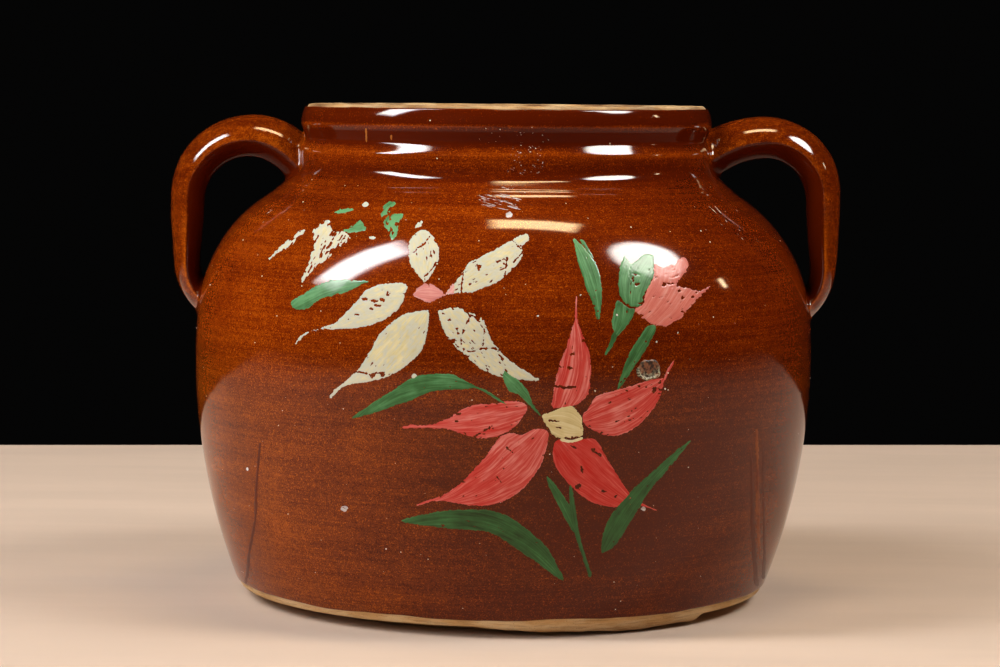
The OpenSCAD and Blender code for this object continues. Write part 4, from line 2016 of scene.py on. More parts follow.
STROKES: dict[Paint, tuple[Stroke, ...]] = {
    Paint.CREAM: (
        Stroke(
            ((425, 283), (418, 274), (411.5, 265), (409, 252), (409.5, 241), (415, 234), (423, 230),
             (432, 234), (436, 243), (439, 253), (436, 267), (430, 277)),
            CREAM_ROOT, wear=0.6, edge=1.2,
            cracks=(((410, 255), (424, 244), (430, 236)), ((422, 279), (430, 272), (437, 262))),
        ),
        Stroke(
            ((447, 294), (454, 284), (463.5, 271.5), (468, 264), (481, 256.5), (494, 250.5), (509, 242),
             (520, 235.5), (527.5, 234), (528.5, 240), (522, 246), (523, 253), (518, 263), (505.5, 276),
             (496, 283), (483, 288), (473, 292), (461.5, 293)),
            CREAM_ROOT, tint=-0.3, tip_tint=0.25, wear=0.52, edge=1.1,
            cracks=(
                ((463, 272), (462, 283), (461, 294)), ((512, 240), (521, 249)),
                ((497, 262), (507, 258), (505, 276)), ((514, 262), (522, 252)),
            ),
            chips=((479, 267, 2.4, 3.0), (524, 246, 3.0, 1.2)),
        ),
        Stroke(
            ((438.7, 312), (443.4, 310), (454, 307.5), (465.4, 310), (477, 315.5), (483.6, 321),
             (488.4, 333), (497, 348), (509.4, 360.5), (526.7, 372), (540, 380), (523, 379.6), (500, 376.4),
             (480.7, 368), (467.4, 357.6), (456, 348), (446, 335.6), (441.5, 323)),
            CREAM_ROOT, wear=0.44, edge=0.9,
            cracks=(
                ((465, 309), (470, 316), (465, 326), (461, 338), (461, 346)),
                ((470, 314), (478, 320), (484, 330), (483, 345)),
                ((452, 345), (462, 348), (470, 352), (480, 349), (492, 348), (499, 350)),
                ((456, 346), (462, 355), (469, 357)),
            ),
            chips=(
                (452.5, 341.5, 3.6, 1.9), (459, 353, 3.0, 1.4), (449, 320, 1.3, 1.1), (478, 318, 2.2, 1.8),
            ),
        ),
        Stroke(
            ((429, 311.7), (427, 332.7), (423.4, 346), (415.7, 357.6), (402, 369), (387, 376.7),
             (370, 381.5), (350.7, 384.4), (339, 390), (329.6, 398.7), (334.4, 390), (343, 383.4),
             (354.5, 373), (364, 361.4), (371.7, 348), (379.4, 334.7), (392.7, 321.3), (406, 314),
             (419.5, 311.3)),
            CREAM_ROOT, wear=0.16, edge=0.7,
            cracks=(((357, 371.5), (368, 374), (384, 372.5)),),
            chips=((372.5, 375, 3.2, 2.4), (383, 375, 1.6, 2.0)),
        ),
        Stroke(
            ((405.8, 284), (405, 294.5), (401.4, 304), (392.7, 313.6), (379.4, 322), (362, 327),
             (339, 329), (322, 329), (310.5, 331.8), (302.8, 336.6), (296, 343.8), (298, 338.5),
             (306.7, 332.4), (324, 327), (337.3, 321.3), (346.8, 311.7), (356.4, 302), (366, 290.7),
             (377.4, 285), (389, 283.4)),
            CREAM_ROOT, tint=0.1, wear=0.42, edge=0.9,
            chips=(
                (365, 299.5, 2.6, 1.7), (374, 301, 4.2, 1.5), (383, 300, 3.0, 1.7), (378, 305.5, 4.4, 1.4),
                (357, 314.5, 2.6, 1.6), (371, 309, 2.6, 1.3), (388, 293, 1.6, 2.6),
            ),
        ),
        Stroke(
            ((301, 286.8), (305, 271.5), (310.5, 258), (314.3, 246.7), (312.4, 233.3), (318, 227.5),
             (328.7, 220), (330.6, 230.4), (348.7, 233.3), (345, 242.8), (335.4, 248.6), (329.6, 256),
             (318, 265.8), (308.6, 273.4)),
            (303, 284), tint=0.15, wear=0.88, edge=1.8,
            cracks=(
                ((336, 233), (331, 243), (324, 252)), ((330, 246), (321, 255)), ((345, 236), (338, 246)),
            ),
        ),
        Stroke(
            ((269.3, 259), (276, 250.5), (285.6, 242), (295, 234), (303.8, 229.4), (304.4, 232.3),
             (296, 238), (291.4, 244.7), (280, 251.4)),
            (270, 258), tint=0.15, wear=1.0, edge=1.2,
        ),
        Stroke(
            ((414, 228), (417, 224), (421, 220), (422, 223), (419, 227)),
            (418, 226), tint=0.2, wear=0.9, edge=1.2,
        ),
        Stroke(
            ((369, 237), (372, 236), (376, 238), (372, 239.5)),
            (372, 238), tint=0.2, wear=0.5, edge=0.9,
        ),
        Stroke(
            ((411, 376), (414, 373.5), (417, 376), (415.5, 379), (412.5, 379)),
            (414, 376), tint=0.5, wear=0.2, edge=0.6,
        ),
        Stroke(
            ((362.5, 203.5), (365.5, 200.8), (368.4, 203), (366.5, 206), (363.4, 206)),
            (365, 203), tint=0.6, wear=0.1, edge=0.4,
        ),
    ),
    Paint.PINK: (
        Stroke(
            ((413.8, 295.4), (417.6, 288.7), (425.3, 284), (436.8, 286.8), (443.4, 292.6), (446.3, 294.5),
             (436.8, 299.3), (428, 302), (419.5, 299.3)),
            (428, 286), wear=0.24, edge=1.2, lift=0.02,
        ),
        Stroke(
            ((446.5, 294.5), (449, 289), (453, 283.5), (455, 286), (454.5, 292), (452, 294.5)),
            (446, 295), tint=0.4, wear=0.2, edge=0.9, lift=0.03,
        ),
    ),
    Paint.CORAL: (
        Stroke(
            ((552.4, 406.8), (553.3, 395), (555.4, 380.5), (560, 363.7), (566.5, 346.8), (571.8, 330),
             (576, 318.4), (580, 328), (585.5, 342.6), (589.7, 355), (591, 368), (590.3, 380.5),
             (588.6, 393), (580, 402.6), (569.7, 406.8), (561.3, 408)),
            CORAL_ROOT, tint=0.2, tip_tint=0.0, wear=0.24, edge=0.8,
            cracks=(((553, 386), (563, 388), (575, 387)), ((560, 367), (572, 368))),
            chips=(
                (572, 354.5, 2.0, 1.2), (560.5, 386, 1.8, 1.0), (570, 387, 1.8, 1.3), (583, 340, 1.2, 1.4),
            ),
        ),
        Stroke(
            ((575.1, 318), (575.4, 308), (575.8, 297.6), (577, 297.6), (576.8, 308), (577.2, 318)),
            CORAL_ROOT, wear=0.72, edge=0.35,
        ),
        Stroke(
            ((582.3, 416.3), (588.6, 408), (597, 396.3), (611.8, 391), (628.6, 386.8), (645.4, 381.5),
             (662.3, 378.4), (664.4, 379.4), (661, 393), (655, 405.8), (645.4, 418.4), (632.8, 429),
             (618, 435), (605.5, 435), (592.8, 430), (584.4, 423.6)),
            CORAL_ROOT, tint=0.0, tip_tint=-0.12, wear=0.28, edge=0.7,
            cracks=(((652, 391), (656, 388), (662, 390)),),
            chips=((654, 391, 1.8, 2.4), (639, 386, 1.6, 1.2), (627, 391, 1.3, 0.9), (660, 382, 1.8, 1.4)),
        ),
        Stroke(
            ((663.6, 379), (666.5, 372), (669, 367), (673.4, 360.2), (674.6, 361), (671, 368), (668, 374),
             (665.6, 379.6)),
            CORAL_ROOT, wear=0.8, edge=0.4,
        ),
        Stroke(
            ((557, 440.5), (574, 440.5), (590.7, 438.4), (599, 443.6), (605.5, 456.3), (616, 473),
             (625.4, 487.8), (632.8, 496), (643.3, 503.6), (658, 511), (641, 505.7), (626.5, 505.7),
             (609.7, 506.8), (590.7, 501.5), (576, 491), (563.4, 477.3), (555, 464.7), (552.8, 452)),
            CORAL_ROOT, tint=-0.75, tip_tint=-0.25, wear=0.26, edge=0.5,
            cracks=(((581, 466), (583, 473)), ((571, 446), (576, 448)), ((590, 449), (601, 456))),
            chips=(
                (578.5, 486, 3.4, 2.6), (581.5, 470, 1.0, 3.0), (603.5, 491, 2.4, 1.5),
                (615.5, 496.5, 1.4, 1.4), (593, 449, 2.0, 1.2), (600, 454.5, 1.6, 1.2),
            ),
        ),
        Stroke(
            ((547.6, 431), (548.6, 437), (544.4, 456.3), (538, 469), (527.6, 483.6), (515, 495),
             (496, 503.6), (479, 505.7), (458, 503), (439, 500.5), (426.6, 503), (416, 505.7),
             (426.6, 500.5), (443.4, 495), (460, 483.6), (473, 471), (485.5, 456.3), (500, 437.3),
             (513, 433), (521.3, 435), (534, 429), (542.3, 429.3)),
            CORAL_ROOT, tint=0.25, tip_tint=-0.1, wear=0.18, edge=0.7,
            cracks=(((497, 477), (501, 482)), ((507, 448), (512, 452))),
            chips=((464, 482, 2.2, 0.9),),
        ),
        Stroke(
            ((527.6, 406.8), (523.4, 416.3), (513, 428), (500, 435), (483.4, 438.4), (466.6, 435),
             (449.7, 430), (433, 428), (405.5, 428), (407.6, 425.8), (430.8, 424.7), (445.5, 419.5),
             (460, 411), (475, 404.7), (491.8, 403.6), (508.6, 401), (521.3, 402.6)),
            CORAL_ROOT, tint=0.3, tip_tint=0.0, wear=0.24, edge=0.8,
            cracks=(((474, 437), (484, 431), (492, 426)),),
            chips=((458, 421.5, 2.0, 1.0), (490, 428, 2.6, 1.2), (458, 414, 2.4, 1.0)),
        ),
    ),
    Paint.HEART: (
        Stroke(
            ((542.3, 416), (550.7, 412), (561.3, 408), (571.8, 405.8), (577, 411), (581.3, 418.4),
             (582.7, 435), (576, 437.3), (563.4, 438.4), (555, 436.3), (547.6, 426.8)),
            (563, 422), tint=-0.15, wear=0.12, edge=0.8, lift=0.03,
            cracks=(((549, 420.5), (559, 421)), ((554, 427), (561, 428)), ((560, 438), (582, 437))),
        ),
        Stroke(
            ((561, 438.5), (571, 440), (581.5, 437.5), (581, 440), (571, 443), (562, 441.5)),
            (571, 440), tint=0.3, wear=0.2, edge=0.5, lift=0.04,
        ),
    ),
    Paint.BUD: (
        Stroke(
            ((634.8, 310), (643, 303), (646, 292), (650.4, 283), (653.8, 274), (653.8, 264), (663, 267),
             (675, 264), (681, 258), (685, 257.4), (687.8, 263), (687, 269.6), (682, 277.5), (677, 283),
             (679.4, 287.5), (687, 288), (693.4, 289.7), (701.8, 290.3), (710, 286), (706, 291),
             (699.5, 296.4), (692.8, 304), (687, 311), (681.7, 316.5), (675, 321), (666, 326), (658, 326),
             (649.3, 323), (642.6, 317.6), (637, 313)),
            (640, 308), wear=0.34, edge=1.0,
            cracks=(((664, 283), (674, 284), (678, 286)),),
            chips=((693, 297, 1.6, 1.4), (664, 285, 1.5, 1.0), (684, 312, 2.2, 1.4)),
        ),
    ),
    Paint.LEAF: (
        Stroke(
            ((334.4, 213), (340, 209), (352.6, 208), (350.7, 211), (343, 215), (337.3, 215.7)),
            (334, 214), tint=0.8, wear=1.1, edge=1.0,
        ),
        Stroke(
            ((343, 229.4), (350.7, 226.6), (360, 220), (365, 225.6), (365, 230.4), (356.4, 232.3),
             (346.8, 233.3)),
            (343, 231), tint=0.8, wear=1.05, edge=1.1,
        ),
        Stroke(
            ((381.3, 215), (383, 206.5), (389, 200.7), (395.6, 202.7), (390.8, 209.3), (384, 215.7)),
            (382, 215), tint=0.75, wear=1.0, edge=1.1,
        ),
        Stroke(
            ((383.6, 224.7), (387, 216), (396.6, 212.6), (404, 214), (398.5, 223.7), (397.5, 231.4),
             (392.7, 239.4), (388, 232.3)),
            (392, 238), tint=0.75, wear=0.9, edge=1.0,
        ),
        Stroke(
            ((291.4, 304), (293.3, 300), (302.8, 294.5), (318, 285), (335.4, 280), (354.5, 280),
             (370, 281.5), (362, 284), (350.7, 290.7), (335.4, 294.5), (320, 299.3), (308.6, 308),
             (301, 310), (294, 308)),
            (370, 281), tint=0.35, tip_tint=0.5, wear=0.2, edge=1.0,
        ),
        Stroke(
            ((352, 418), (368, 406), (384, 395.5), (395, 389), (407.6, 380.5), (422.4, 375), (449.7, 374),
             (462.3, 379.4), (475, 385.8), (487.6, 391), (500, 399.4), (514, 409), (499, 401.5), (486, 393),
             (475, 388), (464.5, 389.3), (445.5, 390), (433, 391), (422.4, 395), (407.6, 401.5),
             (395, 405.3), (380, 411), (366, 415)),
            (514, 409), tint=0.1, tip_tint=0.0, wear=0.12, edge=0.5, lift=0.02,
        ),
        Stroke(
            ((504.4, 371), (509.7, 374), (521.3, 382.6), (528.6, 393), (532.8, 403.6), (540, 414),
             (543.4, 418.8), (538, 414), (529.7, 405.7), (519, 395), (509.7, 391), (503.4, 380.5)),
            (543, 418), tint=0.1, tip_tint=0.3, wear=0.1, edge=0.5, lift=0.03,
        ),
        Stroke(
            ((624.7, 256), (620.3, 266), (618.6, 275), (618.6, 287.5), (621.4, 297.6), (627, 304),
             (637, 307), (642.6, 302), (643, 296.4), (648, 287.5), (652.6, 277.5), (653.8, 267.4),
             (652.6, 255.7), (642.6, 255), (637, 260.7), (630, 263.5)),
            (630, 306), tint=0.35, tip_tint=0.75, wear=0.2, edge=0.9, lift=0.02,
            chips=(
                (636, 274.5, 2.4, 1.2), (633, 279, 1.2, 3.4), (637, 284, 2.4, 1.2), (641, 303, 3.0, 0.9),
            ),
        ),
        Stroke(
            ((617, 299.8), (620.8, 302), (628, 307.6), (634.8, 309.8), (631.4, 318.8), (626, 326.6),
             (620.3, 333.3), (617.5, 335.5), (613.6, 331), (612, 321), (613.6, 313), (615.3, 306.5)),
            (617, 334), tint=0.3, wear=0.16, edge=0.6, lift=0.01,
            chips=((617, 315, 1.0, 1.0),),
        ),
        Stroke(
            ((613.6, 332), (617.5, 335.5), (612.5, 345.6), (607.4, 353.4), (605, 354.5), (608, 346.7),
             (610.8, 339)),
            (606, 354), tint=0.0, wear=0.2, edge=0.5,
        ),
        Stroke(
            ((573.4, 239.5), (578.4, 241.7), (585.7, 249.6), (593.5, 259.6), (598, 268.5), (600, 277.5),
             (602, 288.6), (601.5, 302), (599.6, 318.8), (596.3, 318), (594.6, 308.7), (591.3, 299.8),
             (586.8, 289.7), (583, 277.5), (578.4, 263), (575.6, 250.7)),
            (598, 318), tint=0.25, tip_tint=0.5, wear=0.16, edge=0.6,
            chips=((594, 306, 1.8, 0.8), (598, 311, 1.4, 0.7), (596, 290, 0.9, 0.9)),
        ),
        Stroke(
            ((580, 240), (584, 240.6), (588, 247.3), (593.5, 258), (590, 255), (584.6, 247.3)),
            (593, 257), tint=0.4, wear=0.2, edge=0.4,
        ),
        Stroke(
            ((655.4, 326), (654.3, 333), (649.3, 343), (642.6, 354.5), (634.8, 365.6), (627, 378),
             (620.3, 387), (614.7, 397), (617.5, 388), (620.3, 378), (623.6, 368), (628, 356.7),
             (633.7, 345.6), (640.4, 335.5), (646, 327), (650.4, 325)),
            (615, 396), tint=0.05, tip_tint=0.2, wear=0.14, edge=0.5,
            chips=((627, 357, 1.2, 1.0), (646, 341, 1.0, 1.0)),
        ),
        Stroke(
            ((401.3, 520.5), (416, 516), (437, 512), (462.3, 510), (485.5, 510), (500, 513), (515, 520.5),
             (531.8, 533), (546.5, 546.8), (555, 561.5), (563.4, 580.4), (546.5, 570), (529.7, 557.3),
             (515, 547.8), (498, 536), (485.5, 531), (470.8, 530), (454, 529), (426.6, 525.7),
             (409.7, 523.6)),
            (401, 521), tint=-0.5, tip_tint=-0.25, wear=0.1, edge=0.6,
            chips=((443, 525, 2.0, 1.4),),
        ),
        Stroke(
            ((546.5, 476.3), (551.8, 480.5), (563.4, 496), (574, 513), (577, 523.6), (578, 534),
             (571.8, 530), (563.4, 515), (556, 500.5), (548.6, 485.7)),
            (578, 533), tint=-0.5, tip_tint=-0.1, wear=0.12, edge=0.5,
        ),
        Stroke(
            ((570, 479.4), (572.8, 492), (576, 513), (580, 536), (586.5, 559.4), (591.8, 574),
             (588.6, 576), (582.3, 557.3), (576, 538.3), (570.7, 517.3), (569.3, 496)),
            (590, 575), tint=-0.5, tip_tint=-0.1, wear=0.14, edge=0.5, lift=0.02,
        ),
        Stroke(
            ((690.7, 440.5), (683.3, 450), (668.6, 469), (651.8, 487.8), (637, 511), (626.5, 527.8),
             (616, 544.7), (603.3, 553), (600.8, 549), (603.3, 532), (609.7, 517.3), (622.3, 500.5),
             (637, 485.7), (658, 466.8), (677, 450)),
            (602, 551), tint=-0.5, tip_tint=-0.1, wear=0.12, edge=0.6, lift=0.03,
        ),
    ),
    Paint.SCUFF: (
        Stroke(
            ((506, 213.5), (509, 211.5), (512, 213.5), (511, 217), (507, 216.8)),
            (508, 214), tint=0.5, wear=0.3, edge=0.7,
        ),
        Stroke(
            ((640.6, 509), (643, 506.6), (645.6, 508.4), (644, 511)),
            (642, 508), wear=0.5, edge=0.5,
        ),
        Stroke(
            ((341, 508), (344.5, 505.6), (348, 507.6), (346, 511), (342.6, 511.4)),
            (343, 508), tint=0.1, wear=0.4, edge=0.7,
        ),
        Stroke(
            ((246, 468.6), (247.3, 467.4), (248.6, 469), (248, 470.8), (246.8, 471)),
            (247, 469), tint=0.9, wear=0.1, edge=0.5,
        ),
    ),
    Paint.RUN: (
        Stroke(
            ((258.6, 446), (256, 475), (254.4, 495), (254.2, 512), (252.6, 528), (247.6, 552),
             (246.4, 568), (244.4, 582), (247.4, 583), (249.6, 568), (250.8, 552), (255.4, 528),
             (257.2, 512), (257.2, 495), (258.4, 475), (261, 446)),
            (260, 446), tint=-0.7, wear=0.1, edge=0.6, lift=-0.03,
        ),
        Stroke(
            ((750, 448), (750.4, 482), (750, 506), (750.8, 533), (752.2, 555), (753.2, 571), (754.4, 585),
             (759, 585), (757.8, 571), (756.8, 555), (755.2, 533), (754.2, 506), (753.6, 482),
             (751.6, 448)),
            (751, 448), tint=-0.7, wear=0.1, edge=0.6, lift=-0.03,
        ),
        Stroke(
            ((762.0, 440), (762.6, 500), (763.0, 553), (762.2, 566), (761.6, 578), (764.6, 578),
             (765.4, 566), (766, 553), (764.8, 500), (763.4, 440)),
            (764, 440), tint=-0.8, wear=0.1, edge=0.5, lift=-0.03,
        ),
        # This pale stroke between the right-hand runs is a painted highlight along the run.
        Stroke(
            ((755.4, 432), (756, 470), (756, 506), (757, 533), (758.6, 556), (761, 556), (760.6, 533),
             (759.8, 506), (759, 470), (757.8, 432)),
            (756, 432), tint=0.35, wear=0.1, edge=0.6, lift=-0.03,
        ),
        Stroke(
            ((365, 127), (365.2, 134), (365.6, 140), (367.2, 140), (367.4, 133), (367, 127)),
            (366, 127), tint=0.9, wear=0.1, edge=0.3, lift=-0.04,
        ),
        Stroke(
            ((390, 133.6), (390.4, 138), (392, 138.4), (392.2, 133.6)),
            (391, 134), tint=0.9, wear=0.1, edge=0.3, lift=-0.04,
        ),
    ),
}


@dataclass(frozen=True)
class PaleStreakPatch:
    """A patch of thin pale strokes, in pixels of the photograph's frame: fine scratches and specks rubbed
    into the glaze, and in two patches painted reflections of the handles.
    """

    low: Point
    high: Point
    count: int
    length: Point
    thick: Point
    slope: float
    seed: int
    stray: float = 0.05
    wear: float = 0.42
    edge: float = 0.22
    grid: float = 0.3
    lift: float = -0.05
    tints: Point = (-0.5, 0.6)

    def strokes(self) -> list[Stroke]:
        """Draw the scratches as thin strokes.

        Returns:
            The strokes.
        """
        rng = np.random.default_rng(self.seed)
        made = []
        for _ in range(self.count):
            middle = rng.uniform(self.low, self.high)
            half = rng.uniform(*self.length) / 2
            way = direction(self.slope + self.stray * rng.normal())
            side = rng.uniform(*self.thick) / 2 * np.array([-way[1], way[0]])
            line = (middle - half * way, middle + side, middle + half * way, middle - side)
            outline = tuple((float(x), float(y)) for x, y in line)
            tint = rng.uniform(*self.tints)
            made.append(Stroke(outline, outline[0], tint, None, self.wear, self.edge, self.lift, self.grid))
        return made


SCUFFS_AND_REFLECTIONS = (
    PaleStreakPatch((482, 194.5), (518, 201), 22, (8, 26), (0.9, 1.8), math.radians(14), 71),
    PaleStreakPatch((484, 202), (516, 209), 18, (8, 24), (0.9, 1.8), math.radians(14), 77),
    PaleStreakPatch((486, 186.5), (518, 190.5), 7, (6, 14), (0.8, 1.4), math.radians(8), 72),
    PaleStreakPatch((507, 143), (543, 174), 60, (1.2, 3.2), (1.0, 2.0), math.radians(20), 73, stray=0.6),
    PaleStreakPatch((479, 126), (550, 142), 25, (1.2, 3.0), (0.9, 1.7), math.radians(20), 74, stray=0.6),
    # The last two patches are painted reflections of the handles on the shoulders, not scratches.
    PaleStreakPatch((712, 205), (742, 238), 8, (8, 24), (0.7, 1.3), math.radians(47), 75),
    PaleStreakPatch((260, 208), (286, 227), 6, (6, 18), (0.7, 1.2), math.radians(-38), 76),
)


PAINTS: dict[Paint, PaintFinish] = {
    Paint.CREAM: PaintFinish("cream_paint", (0.41, 0.35, 0.20), (0.61, 0.52, 0.265), (0.70, 0.62, 0.39),
                             rim=(0.51, 0.495, 0.38), roughness=0.6, coat=0.05),
    Paint.PINK: PaintFinish("pink_paint", (0.38, 0.10, 0.085), (0.56, 0.20, 0.17), (0.70, 0.36, 0.31)),
    Paint.CORAL: PaintFinish("coral_paint", (0.45, 0.019, 0.012), (0.53, 0.064, 0.048), (0.67, 0.20, 0.165),
                             streak=1.6, coat=0.4),
    Paint.HEART: PaintFinish("heart_paint", (0.50, 0.37, 0.155), (0.64, 0.52, 0.26), (0.76, 0.69, 0.47)),
    Paint.BUD: PaintFinish("bud_paint", (0.48, 0.085, 0.06), (0.59, 0.155, 0.115), (0.68, 0.29, 0.235),
                           coat=0.25, coat_roughness=0.09),
    Paint.LEAF: PaintFinish("leaf_paint", (0.022, 0.040, 0.011), (0.040, 0.125, 0.036), (0.115, 0.30, 0.12),
                            streak=0.8, coat=0.42, coat_roughness=0.09),
    Paint.SCUFF: PaintFinish("scuff_marks_and_reflections", (0.16, 0.10, 0.08), (0.40, 0.33, 0.30), (0.66, 0.60, 0.55),
                             roughness=0.6),
    Paint.RUN: PaintFinish("run_glaze_and_highlight", (0.075, 0.010, 0.0012), (0.13, 0.018, 0.002), (0.36, 0.10, 0.012),
                           roughness=0.4, streak=0.5, coat=0.4),
}


@dataclass
class PaintedFront:
    """The brushed flowers on the front, with the scuffs and runs of the glaze round them, painted reflections
    of the handles on the shoulders, and a painted highlight along one run.
    """

    wall: GlazedWall
    camera: PhotoCamera
    crease: float = 40.0

    def build(self) -> list[bpy.types.Object]:
        """Build and dress the films.

        Returns:
            The pieces.
        """
        film = StrokeFilm(self.wall, self.camera)
        made = []
        order = 0
        # Scuffs, and painted reflections of the handles on the shoulders.
        scuffs_and_reflections = [stroke for patch in SCUFFS_AND_REFLECTIONS for stroke in patch.strokes()]
        for paint, strokes in STROKES.items():
            piece = MeshPiece(paint.value)
            for stroke in (*strokes, *(scuffs_and_reflections if paint is Paint.SCUFF else ())):
                order += 1
                film.add(piece, stroke, order)
            made.append(piece.write(PAINTS[paint].material(), self.crease))
        return made


@dataclass
class BlisterScar:
    """A burst blister in the glaze beside the flower: a low crater with a gritty rim."""

    wall: GlazedWall
    camera: PhotoCamera
    centre: Point = (648.8, 370.0)
    half_size: Point = (12.0, 10.8)
    rings: int = 22
    spokes: int = 72
    wavy: Ripple = Ripple(0.10, 2.2, layers=3)
    rim_at: float = 0.84
    rim_spread: float = 0.11
    rim_h: float = 0.20
    lower_h: float = 0.16
    grit: Ripple = Ripple(0.8, 0.5, layers=3)
    floor_h: float = 0.04
    edge_at: float = 0.95
    edge_slope: float = 1.8
    edge_sink: float = 0.05
    under: float = 0.1
    crust_at: float = 0.35
    lower_turn: float = 0.9
    lower_from: float = 0.35
    least_crust: float = 0.1
    floor_crust: float = 0.35
    seed: int = 61
    crease: float = 60.0

    def build(self, finish: ScarFinish) -> bpy.types.Object:
        """Build and dress the scar.

        Args:
            finish: The burst glaze.

        Returns:
            The piece.
        """
        noise = LatticeNoise(self.seed)
        share = np.linspace(0.0, 1.0, self.rings)[1:, None]
        angle = np.linspace(0.0, 2 * math.pi, self.spokes, endpoint=False)[::-1]
        ring = np.column_stack([np.cos(angle), np.sin(angle), np.zeros(self.spokes)])
        wavy = 1.0 + self.wavy.at(noise, ring)
        x = self.centre[0] + self.half_size[0] * share * wavy * np.cos(angle)
        y = self.centre[1] + self.half_size[1] * share * wavy * np.sin(angle)
        pixels = np.column_stack([x.ravel(), y.ravel()])
        rim = np.exp(-(((share - self.rim_at) / self.rim_spread) ** 2)) * np.ones(self.spokes)
        lower = np.clip(np.sin(angle) * self.lower_turn + self.lower_from, 0.0, 1.0)
        grit = self.grit.at(noise, np.column_stack([pixels, np.zeros(len(pixels))])).reshape(rim.shape)
        height = self.floor_h + rim * (self.rim_h + self.lower_h * lower) * (1.0 + grit)
        height = height - self.edge_slope * np.clip(share - self.edge_at, 0.0, 1.0)
        plain = self.wall.cast(self.camera.eye, self.camera.rays(np.vstack([[self.centre], pixels])))
        top = self.wall.lifted(plain, np.append(self.floor_h, np.maximum(height, -self.edge_sink)))
        bottom = self.wall.lifted(plain, -self.under)
        crust = rim * (self.least_crust + (1.0 - self.least_crust) * lower)
        crust = crust + self.floor_crust * lower * (share > self.crust_at)
        crust = np.append(0.0, np.clip(crust, 0.0, 1.0))
        count = len(plain)
        faces = [tuple(v + 1 for v in face) for face in ring_faces(self.rings - 1, self.spokes)]
        faces += fan(0, 1, self.spokes)
        outer = 1 + (self.rings - 2) * self.spokes
        under = [tuple(v + count for v in face[::-1]) for face in faces]
        skirt = [(b, b + count, a + count, a) for _, a, b in fan(0, outer, self.spokes)]
        piece = MeshPiece("blister_scar")
        piece.add(np.vstack([top, bottom]), faces + under + skirt, crust=np.concatenate([crust, crust]))
        return piece.write(finish.material(), self.crease)


@dataclass
class Flecks:
    """Pale grains stuck in the glaze, some where the photograph shows them and the rest at random."""

    wall: GlazedWall
    camera: PhotoCamera
    seen: tuple[Point, ...] = (
        (677.8, 333), (656.6, 342), (668, 373), (665, 389), (668, 390), (595, 391), (580.6, 295),
        (617, 315), (710, 242), (701, 231), (631, 227), (713.5, 317), (437, 157), (430, 119), (312, 178),
        (345, 184), (262, 276), (243, 240), (277, 316), (610, 143), (472, 400), (538, 316), (321, 311),
        (439, 279), (303, 201), (386, 549), (246.5, 469), (288, 514), (566, 203), (588, 218),
    )
    scattered: int = 420
    seen_r: float = 0.36
    least_r: float = 0.07
    most_r: float = 0.24
    low_z: float = 9.0
    high_z: float = 148.0
    spread: Point = (0.6, 1.1)
    outline: Point = (0.65, 1.25)
    tints: Point = (-0.2, 1.0)
    sink: float = 0.06
    brow: float = 0.7
    brow_h: float = 0.25
    peak_h: float = 0.38
    seed: int = 67
    spokes: int = 7

    def build(self, finish: PaintFinish) -> bpy.types.Object:
        """Build and dress the flecks.

        Args:
            finish: The grains' finish.

        Returns:
            The piece.
        """
        rng = np.random.default_rng(self.seed)
        marked = self.wall.cast(self.camera.eye, self.camera.rays(np.array(self.seen)))
        angle = rng.uniform(0.0, 2 * math.pi, self.scattered)
        z = rng.uniform(self.low_z, self.high_z, self.scattered)
        r = self.wall.radius(z)
        loose = np.column_stack([r * np.cos(angle), r * np.sin(angle), z])
        middles = np.vstack([marked, loose])
        sizes = np.concatenate([
            self.seen_r * rng.uniform(*self.spread, len(marked)),
            self.least_r + (self.most_r - self.least_r) * rng.uniform(0.0, 1.0, self.scattered) ** 2,
        ])
        piece = MeshPiece("glaze_flecks")
        for middle, size in zip(middles, sizes):
            self.grain(piece, middle, size, rng)
        return piece.write(finish.material())

    def grain(self, piece: MeshPiece, middle: np.ndarray, size: float, rng: np.random.Generator) -> None:
        """Add one low grain to a piece.

        Args:
            piece: The piece.
            middle: Point of the plain wall under the grain.
            size: Its radius.
            rng: Source of its uneven outline.
        """
        out = self.wall.normals(middle[None])[0]
        level = np.cross((0.0, 0.0, 1.0), out)
        level /= np.linalg.norm(level)
        rise = np.cross(out, level)
        angle = np.linspace(0.0, 2 * math.pi, self.spokes, endpoint=False)
        reach = size * rng.uniform(*self.outline, self.spokes)
        flat = np.cos(angle)[:, None] * level + np.sin(angle)[:, None] * rise
        base = self.wall.lifted(middle + flat * reach[:, None], -self.sink)
        upper = self.wall.lifted(middle + flat * (self.brow * reach)[:, None], self.brow_h * size)
        ends = self.wall.lifted(np.array([middle, middle]), np.array([self.peak_h * size, -self.sink]))
        n = self.spokes
        faces = ring_faces(2, n) + fan(2 * n, n, n) + flipped(fan(2 * n + 1, 0, n))
        points = np.vstack([base, upper, ends])
        tint = np.full(len(points), rng.uniform(*self.tints))
        piece.add(points, faces, tint=tint, stroke=np.tile(middle, (len(points), 1)))


class LampForm(Enum):
    """Outlines that a lamp's face can have."""

    PANEL = "RECTANGLE"
    ROUND = "ELLIPSE"


